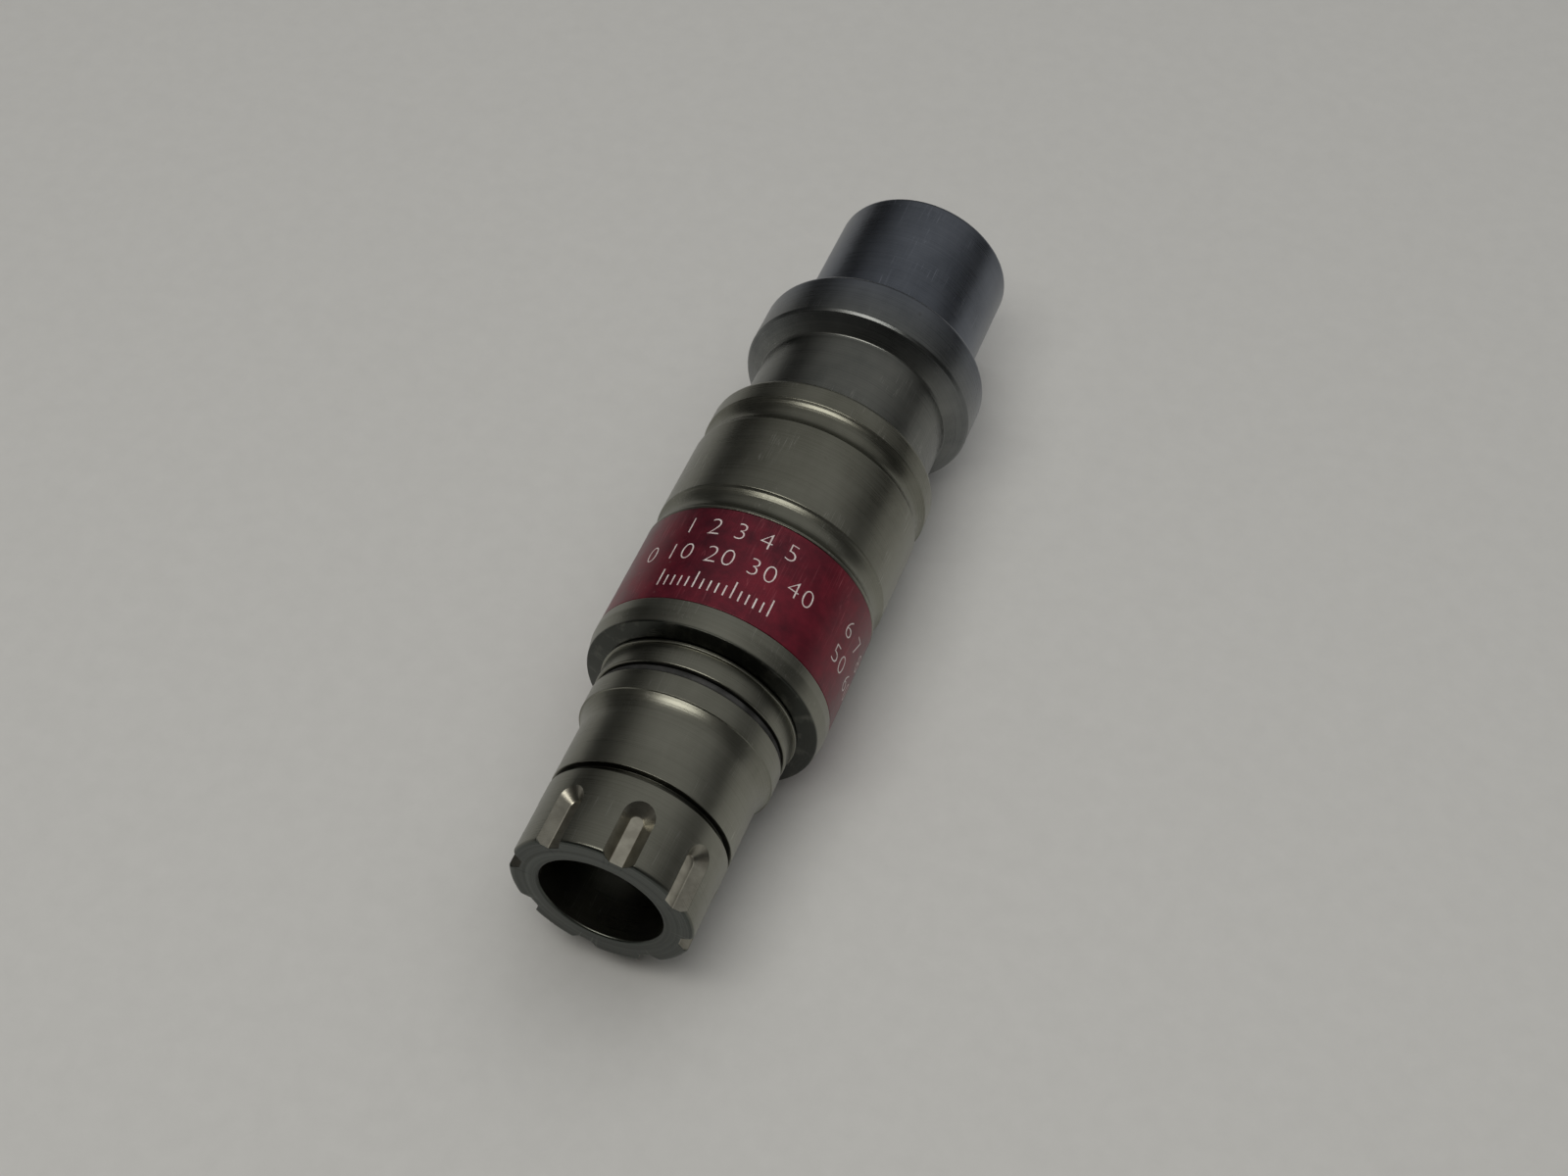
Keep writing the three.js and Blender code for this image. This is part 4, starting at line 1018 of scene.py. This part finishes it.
def gear_outline(teeth, tip_radius, root_radius, phase, thinning):
    """Points of a spur gear's outline, with one tooth centred on the phase."""
    base_radius = MODULE * teeth / 2 * math.cos(PRESSURE_ANGLE)
    radii = [root_radius] if root_radius < base_radius else []
    radii += spread(max(root_radius, base_radius), tip_radius, 7)
    points = []
    for centre in around(teeth, phase):
        rising = [(radius, centre - tooth_half_angle(radius, teeth, thinning)) for radius in radii]
        falling = [(radius, 2 * centre - angle) for radius, angle in reversed(rising)]
        points += [polar(radius, angle) for radius, angle in rising + falling]
    return points


def spur_gear(name, teeth, phase):
    pitch_radius = MODULE * teeth / 2
    tip, root = pitch_radius + ADDENDUM, pitch_radius - DEDENDUM
    return prism(name, gear_outline(teeth, tip, root, phase, TOOTH_THINNING), *GEARS)


def bore_tool(radius, start, end, sides=64):
    return rod("bore_tool", place(0, start, 0), place(0, end, 0), radius, sides)


def dowel_tool(angle, clearance=0.0):
    """The gear's dowel, or the hole for it."""
    return radial_rod("dowel_tool", PLUG_RADIUS - 0.55 - clearance, BODY_RADIUS - 0.65 + clearance,
                      sum(GEARS) / 2, angle, 0.9 + clearance, 36)


def make_ring_gear():
    start, end = stations("ring_gear")
    pitch_radius = MODULE * RING_TEETH / 2
    gaps = gear_outline(RING_TEETH, pitch_radius + DEDENDUM, pitch_radius - 0.8 * ADDENDUM,
                        math.pi / RING_TEETH, -TOOTH_THINNING)
    blank = rod("ring_gear_blank", place(0, start, 0), place(0, end, 0), PLUG_RADIUS, 144)
    tools = [prism("ring_gaps", gaps, start - OVER_RUN, end + OVER_RUN)]
    tools += [dowel_tool(angle, 0.12) for angle in DOWEL_ANGLES]
    machine(blank, tools, 0.05, "ring_gear", 1)
    for number, angle in enumerate(DOWEL_ANGLES, 1):
        dowel = dowel_tool(angle)
        dowel.name = f"gear_dowel_pin_{number}"
        machine(dowel, [], 0.15, f"ring_gear_dowel_{number}")


def make_sun_gear():
    start = stations("sun_gear")[0]
    gear = spur_gear("sun_gear_teeth", SUN_TEETH, 0)
    cut(gear, [bore_tool(3.3, start, GEARS[0] + 0.5)], "UNION")
    bore = bore_tool(1.9, start - OVER_RUN, GEARS[1] + OVER_RUN)
    machine(gear, [bore, sun_pin("cross_hole", OVER_RUN, 0.7)], 0.05, "sun_gear", 1)
    machine(sun_pin("sun_cross_pin", 0, 0.6), [], 0.12, "sun_gear_pin")


def sun_pin(name, over_run, radius):
    """The pin across the sun gear's hub and the input shaft, or the hole for it."""
    end = outer_radius("sun_gear_pin") + over_run
    return radial_rod(name, -end, end, SUN_PIN_STATION, math.pi / 2, radius)


def at_planet(obj, angle):
    """Moves a piece from the shaft axis to a planet's."""
    return shifted(obj, place(CENTRE_DISTANCE, LENGTH / 2, angle))


def make_planets():
    bush_radius, pin_radius, head_radius, head = 1.75, 1.2, 2.1, 0.6
    for number, angle in enumerate(around(PLANET_COUNT), 1):
        gear = spur_gear(f"planet_teeth_{number}", PLANET_TEETH, angle + math.pi / PLANET_TEETH)
        cut(gear, [bore_tool(bush_radius + FIT, GEARS[0] - OVER_RUN, GEARS[1] + OVER_RUN)])
        break_edges(gear, 0.05, 1)
        stand_for(at_planet(gear, angle), f"planet_gear_{number}")
        bush_name = f"planet_bush_sintered_{number}"
        bush = collar(bush_name, pin_radius + FIT, bush_radius, *GEARS, 0.12, 48)
        stand_for(at_planet(bush, angle), f"planet_bush_{number}")
        node = f"planet_pin_{number}"
        start, end = stations(node)
        pin = turned(f"{node}_headed", [
            (0, start, 0), (head_radius, start, 0.2), (head_radius, start + head, 0.1),
            (pin_radius, start + head, 0.08), (pin_radius, end, 0.2), (0, end, 0),
        ], 48)
        stand_for(at_planet(pin, angle), node)


def make_carrier():
    node = "planet_carrier"
    start, end = stations(node)
    carrier = collar("carrier_disc", 3.2, outer_radius(node), start, end, 0.25)
    radius = SPIGOT_RADIUS + FIT
    reach = math.pi / 2 - math.acos((SPIGOT_FLAT + FIT) / radius)
    outline = []
    for middle in (math.pi / 2, -math.pi / 2):
        outline += [polar(radius, angle) for angle in spread(middle - reach, middle + reach, 16)]
    tools = [prism("drive_hole", outline, SPINDLE_START - 0.2, end + OVER_RUN)]
    between_planets = math.pi / PLANET_COUNT
    for angle in around(PLANET_COUNT):
        tools.append(at_planet(bore_tool(1.25, start - OVER_RUN, end + OVER_RUN, 40), angle))
        lightening = bore_tool(2.2, start - OVER_RUN, end + OVER_RUN, 48)
        where = place(CENTRE_DISTANCE + 0.6, LENGTH / 2, angle + between_planets)
        tools.append(shifted(lightening, where))
    machine(carrier, tools, 0.12, node)


def make_carrier_screw():
    node = "carrier_screw"
    start, end = stations(node)
    head_end = start + 1.4
    head_radius, shank_radius = 2.7, 1.5
    pitch, thread_depth = 0.5, 0.25
    thread = []
    for turn in range(int((end - head_end - 0.8) / pitch)):
        crest = head_end + 0.6 + turn * pitch
        thread += [(shank_radius - thread_depth, crest - pitch / 2, 0), (shank_radius, crest, 0)]
    screw = turned("carrier_cap_screw", [
        (0, start, 0), (head_radius, start, 0.25), (head_radius, head_end, 0.1),
        (shank_radius, head_end, 0.05), *thread, (shank_radius - 0.3, end, 0.1), (0, end, 0),
    ], 48)
    hexagon = prism("hexagon_cutter", circle(1.15, 6), start - OVER_RUN, start + 1)
    machine(screw, [hexagon], 0.04, node, 1)


def make_input_shaft():
    start, end = stations("input_shaft")
    hub_end, hub_radius, neck_radius = 20.2, 6.9, 5.2
    bearing_seat, shoulder = BEARINGS["input_bearing"][0], 23.85
    spigot_start, spigot_radius = 33.0, 1.8
    shaft = turned("input_shaft_turned", [
        (0, start, 0), (hub_radius, start, 0.6), (hub_radius, hub_end, 0.4),
        (neck_radius, hub_end, 0.2), (neck_radius, shoulder, 0.2), (bearing_seat, shoulder, 0.1),
        *clip_groove("input_shaft_circlip", bearing_seat, bearing_seat - 0.5),
        (bearing_seat, spigot_start, 0.4), (spigot_radius, spigot_start, 0.2),
        (spigot_radius, end, 0.3), (0, end, 0),
    ])
    corner_radius = HEXAGON_FLATS / (2 * math.cos(math.pi / 6))
    lead_in = turned("lead_in", [
        (0, start - 0.2, 0), (corner_radius + 0.6, start - 0.2, 0),
        (corner_radius - 0.4, start + 0.8, 0), (0, start + 0.8, 0),
    ], 64)
    socket = prism("hexagon_cutter", circle(corner_radius, 6), start - OVER_RUN, start + 8)
    cross_hole = radial_rod("cross_hole", -4, 4, SUN_PIN_STATION, math.pi / 2, 0.7)
    machine(shaft, [lead_in, socket, cross_hole], 0.08, "input_shaft")


# ---------------- bearings, rings and seals

def raceway(pitch_radius, middle, radius, side):
    """Corners of the round groove that the balls run in."""
    reach = math.radians(55)
    arc = (polar(radius, angle) for angle in spread(-reach, reach, 14))
    return [(pitch_radius + side * across, middle + along, 0) for across, along in arc]


def make_bearing(bearing):
    bore, outside, ball_radius, count = BEARINGS[bearing]
    start, end = stations(f"{bearing}_inner_race")
    middle = (start + end) / 2
    pitch_radius = (bore + outside) / 2
    land = RACE_LAND * ball_radius
    groove = ball_radius + 0.12
    inner_race = turned(f"{bearing}_inner_ground", [
        (bore + FIT, start, 0.25), (pitch_radius - land, start, 0.15),
        *raceway(pitch_radius, middle, groove, -1),
        (pitch_radius - land, end, 0.15), (bore + FIT, end, 0.25),
    ])
    stand_for(inner_race, f"{bearing}_inner_race")
    outer_race = turned(f"{bearing}_outer_ground", [
        (pitch_radius + land, start, 0.15), (outside - FIT, start, 0.3), (outside - FIT, end, 0.3),
        (pitch_radius + land, end, 0.15), *reversed(raceway(pitch_radius, middle, groove, 1)),
    ])
    stand_for(outer_race, f"{bearing}_outer_race")

    cage_half, cage_reach = 0.25, ball_radius + 0.45
    cage = collar(f"{bearing}_cage", pitch_radius - cage_half, pitch_radius + cage_half,
                  middle - cage_reach, middle + cage_reach, 0.08)
    angles = around(count)
    pocket = (pitch_radius - OVER_RUN, pitch_radius + OVER_RUN, middle)
    cut(cage, [radial_rod("pocket", *pocket, angle, ball_radius + 0.1, 40) for angle in angles])
    sharpened(cage)
    stand_for(cage, f"{bearing}_balls", "cage_brass")
    balls = [
        shifted(ball(f"bearing_ball_{index}", ball_radius, 14), place(pitch_radius, middle, angle))
        for index, angle in enumerate(angles)
    ]
    ball_set = joined(f"{bearing}_ball_set", balls)
    dress(ball_set, NODES[f"{bearing}_balls"]["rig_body"], "bright_steel")


def make_plain_rings():
    for node, inner in PLAIN_RINGS.items():
        start, end = stations(node)
        edge = min(0.15, 0.3 * (end - start))
        stand_for(collar(f"{node}_turned", inner, outer_radius(node), start, end, edge), node)


def make_seals():
    """Lip seals: a rubber-covered case with a lip that leans on the shaft and a dust lip."""
    for node, inner in (("input_shaft_seal", 5.4), ("front_shaft_seal", SPINDLE_RADIUS + 0.15)):
        start, end = stations(node)
        outer = outer_radius(node)
        depth = end - start
        web = 0.3 * depth
        wall = 0.22 * (outer - inner)
        seal = turned(f"{node}_lip", [
            (inner + 0.1, start, 0.05), (outer - wall, start, 0.1), (outer, start, 0.12),
            (outer, end, 0.12), (outer - wall, end, 0.08), (outer - wall, start + web, 0.1),
            (inner + 2 * wall, start + web, 0.1), (inner + 1.6 * wall, end - 0.1 * depth, 0.08),
            (inner + 0.6 * wall, end - 0.15 * depth, 0.05), (inner, end - 0.35 * depth, 0.03),
            (inner + 0.3 * wall, start + 0.45 * depth, 0.05),
        ])
        stand_for(seal, node)


# ---------------- band markings

def add_figures(bm, text, angle, station):
    """Adds a centred row of figures, wrapped on the band with their tops towards the nose."""
    curve = bpy.data.curves.new("row", "FONT")
    curve.body = text
    curve.align_x = "CENTER"
    curve.size = FIGURE_HEIGHT / FONT_CAP_HEIGHT
    curve.offset = -MARKING_THINNING
    curve.space_character = 1.12
    curve.resolution_u = 5
    row = new_object("row", curve)
    bpy.context.view_layer.update()
    mesh = bpy.data.meshes.new_from_object(row.evaluated_get(bpy.context.evaluated_depsgraph_get()))
    flat = bmesh.new()
    flat.from_mesh(mesh)
    add_wrapped(bm, flat, angle, station - FIGURE_HEIGHT / 2)
    bpy.data.objects.remove(row)
    bpy.data.curves.remove(curve)
    bpy.data.meshes.remove(mesh)


def add_wrapped(bm, flat, angle, station):
    """Slices a flat drawing (x across, y towards the nose) finely and wraps it on the band."""
    reach = max(abs(vert.co.x) for vert in flat.verts)
    step = 0.4
    across = -math.ceil(reach / step) * step
    while across < reach:
        geometry = flat.verts[:] + flat.edges[:] + flat.faces[:]
        bmesh.ops.bisect_plane(flat, geom=geometry, plane_co=(across, 0, 0), plane_no=(1, 0, 0))
        across += step
    wrapped = {}
    for vert in flat.verts:
        where = place(MARKING_RADIUS, station + vert.co.y, angle + vert.co.x / MARKING_RADIUS)
        wrapped[vert] = bm.verts.new(where)
    for face in flat.faces:
        bm.faces.new([wrapped[vert] for vert in face.verts])
    flat.free()


def add_tick(bm, across, length, angle, station):
    """Adds one line of a scale."""
    flat = bmesh.new()
    left, right = across - MARKING_STROKE / 2, across + MARKING_STROKE / 2
    corners = [(left, 0), (right, 0), (right, length), (left, length)]
    flat.faces.new([flat.verts.new((x, y, 0)) for x, y in corners])
    add_wrapped(bm, flat, angle, station)


def make_markings():
    """A plain scale on the band: two rows of figures over a row of lines, and a shorter block."""
    bm = bmesh.new()
    middle = sum(BAND) / 2 + 0.2
    row_pitch = 4.4
    front, side = math.radians(-2), math.radians(80)
    add_figures(bm, "1 2 3 4 5", front, middle + row_pitch)
    add_figures(bm, "0 10 20 30 40", front, middle)
    ticks, long_tick, short_tick = 16, 2.6, 1.6
    for tick in range(ticks):
        length = short_tick if tick % 5 else long_tick
        add_tick(bm, tick - (ticks - 1) / 2, length, front, middle - 5.7)
    add_figures(bm, "6 7 8", side, middle + row_pitch / 2)
    add_figures(bm, "50 60", side, middle - row_pitch / 2)
    shell = bmesh.ops.extrude_face_region(bm, geom=bm.faces[:])
    bm.normal_update()
    for vert in shell["geom"]:
        if isinstance(vert, bmesh.types.BMVert):
            radial = Vector((vert.co.x, 0, vert.co.z)).normalized()
            vert.co += radial * MARKING_RELIEF * MM
    markings = object_from_bmesh("band_scale_markings", bm)
    dress(markings, "housing", "red_band")
    paint = grained("marking_paint", (0.62, 0.5, 0.5), (0.82, 0.8, 0.78), 0.57, 900, 900)
    markings.data.materials[0] = paint


make_barrel()
make_oring()
make_housing()
make_band()
make_markings()
make_sleeve()
make_spindle()
make_cam_ring()
make_lock_balls()
make_spring()
make_key_pin()
for clip_node in CLIPS:
    make_clip(clip_node)
make_ring_gear()
make_sun_gear()
make_planets()
make_carrier()
make_carrier_screw()
make_input_shaft()
for bearing_name in BEARINGS:
    make_bearing(bearing_name)
make_plain_rings()
make_seals()

for node_name, node_object in NODES.items():
    node_object.data.materials.clear()
    node_object.data.materials.append(LOOKS[SLOT_OF[node_name]])


# ---------------- stage

def make_floor():
    reach, gap = 12.0, 0.0002
    bm = bmesh.new()
    corners = [(-reach, -reach), (reach, -reach), (reach, reach), (-reach, reach)]
    bm.faces.new([bm.verts.new((x, y, FLOOR_Z - gap)) for x, y in corners])
    floor = object_from_bmesh("floor", bm)
    look = Look("floor")
    look.join(look.blend(look.patches(350), (0.62, 0.62, 0.61), (0.68, 0.68, 0.67)), "Base Color")
    look.set(Roughness=0.85)
    floor.data.materials.append(look.material)


def area_light(name, location, size, power, colour, in_reflections=True):
    """A rectangular light that points at the coupling."""
    light = bpy.data.lights.new(name, "AREA")
    light.shape = "RECTANGLE"
    light.size, light.size_y = size
    light.energy = power
    light.color = colour
    obj = bpy.data.objects.new(name, light)
    bpy.context.scene.collection.objects.link(obj)
    obj.location = location
    obj.rotation_euler = (-Vector(location)).to_track_quat("-Z", "Y").to_euler()
    obj.visible_glossy = in_reflections


def make_world():
    """A soft grey surround, brightest high up beyond the nose."""
    world = bpy.data.worlds.new("studio")
    bpy.context.scene.world = world
    world.use_nodes = True
    tree = world.node_tree
    toward_light = tree.nodes.new("ShaderNodeVectorMath")
    toward_light.operation = "DOT_PRODUCT"
    tree.links.new(tree.nodes.new("ShaderNodeTexCoord").outputs["Generated"], toward_light.inputs[0])
    toward_light.inputs[1].default_value = Vector(WORLD_LIGHT_DIRECTION).normalized()
    level = tree.nodes.new("ShaderNodeMapRange")
    level.interpolation_type = "SMOOTHSTEP"
    tree.links.new(toward_light.outputs["Value"], level.inputs["Value"])
    for socket, value in (("From Min", 0.45), ("From Max", 1.0), ("To Min", 0.032), ("To Max", 0.37)):
        level.inputs[socket].default_value = value
    background = tree.nodes["Background"]
    background.inputs["Color"].default_value = (1.0, 0.99, 0.95, 1)
    tree.links.new(level.outputs["Result"], background.inputs["Strength"])


def make_lights():
    area_light("key", (-0.05, -0.30, 0.67), (0.50, 0.24), 1.4, (1.0, 0.97, 0.90))
    area_light("overhead", (0.1, 0.1, 1.3), (1.5, 1.5), 6.2, (1.0, 0.99, 0.97), False)


def make_camera():
    azimuth, elevation = CAMERA_AZIMUTH, CAMERA_ELEVATION
    back = Vector((
        math.sin(azimuth) * math.cos(elevation),
        -math.cos(azimuth) * math.cos(elevation),
        math.sin(elevation),
    ))
    right = Vector((math.cos(azimuth), math.sin(azimuth), 0))
    up = back.cross(right)
    data = bpy.data.cameras.new("camera")
    data.lens = FOCAL_LENGTH
    data.sensor_width = 36
    data.clip_start = 0.01
    camera = bpy.data.objects.new("camera", data)
    bpy.context.scene.collection.objects.link(camera)
    camera.location = back * CAMERA_DISTANCE + right * CAMERA_AIM_RIGHT + up * CAMERA_AIM_UP
    camera.rotation_euler = Matrix((right, up, back)).transposed().to_euler()
    bpy.context.scene.camera = camera


make_floor()
make_world()
make_lights()
make_camera()
bpy.context.scene.view_settings.view_transform = "Standard"
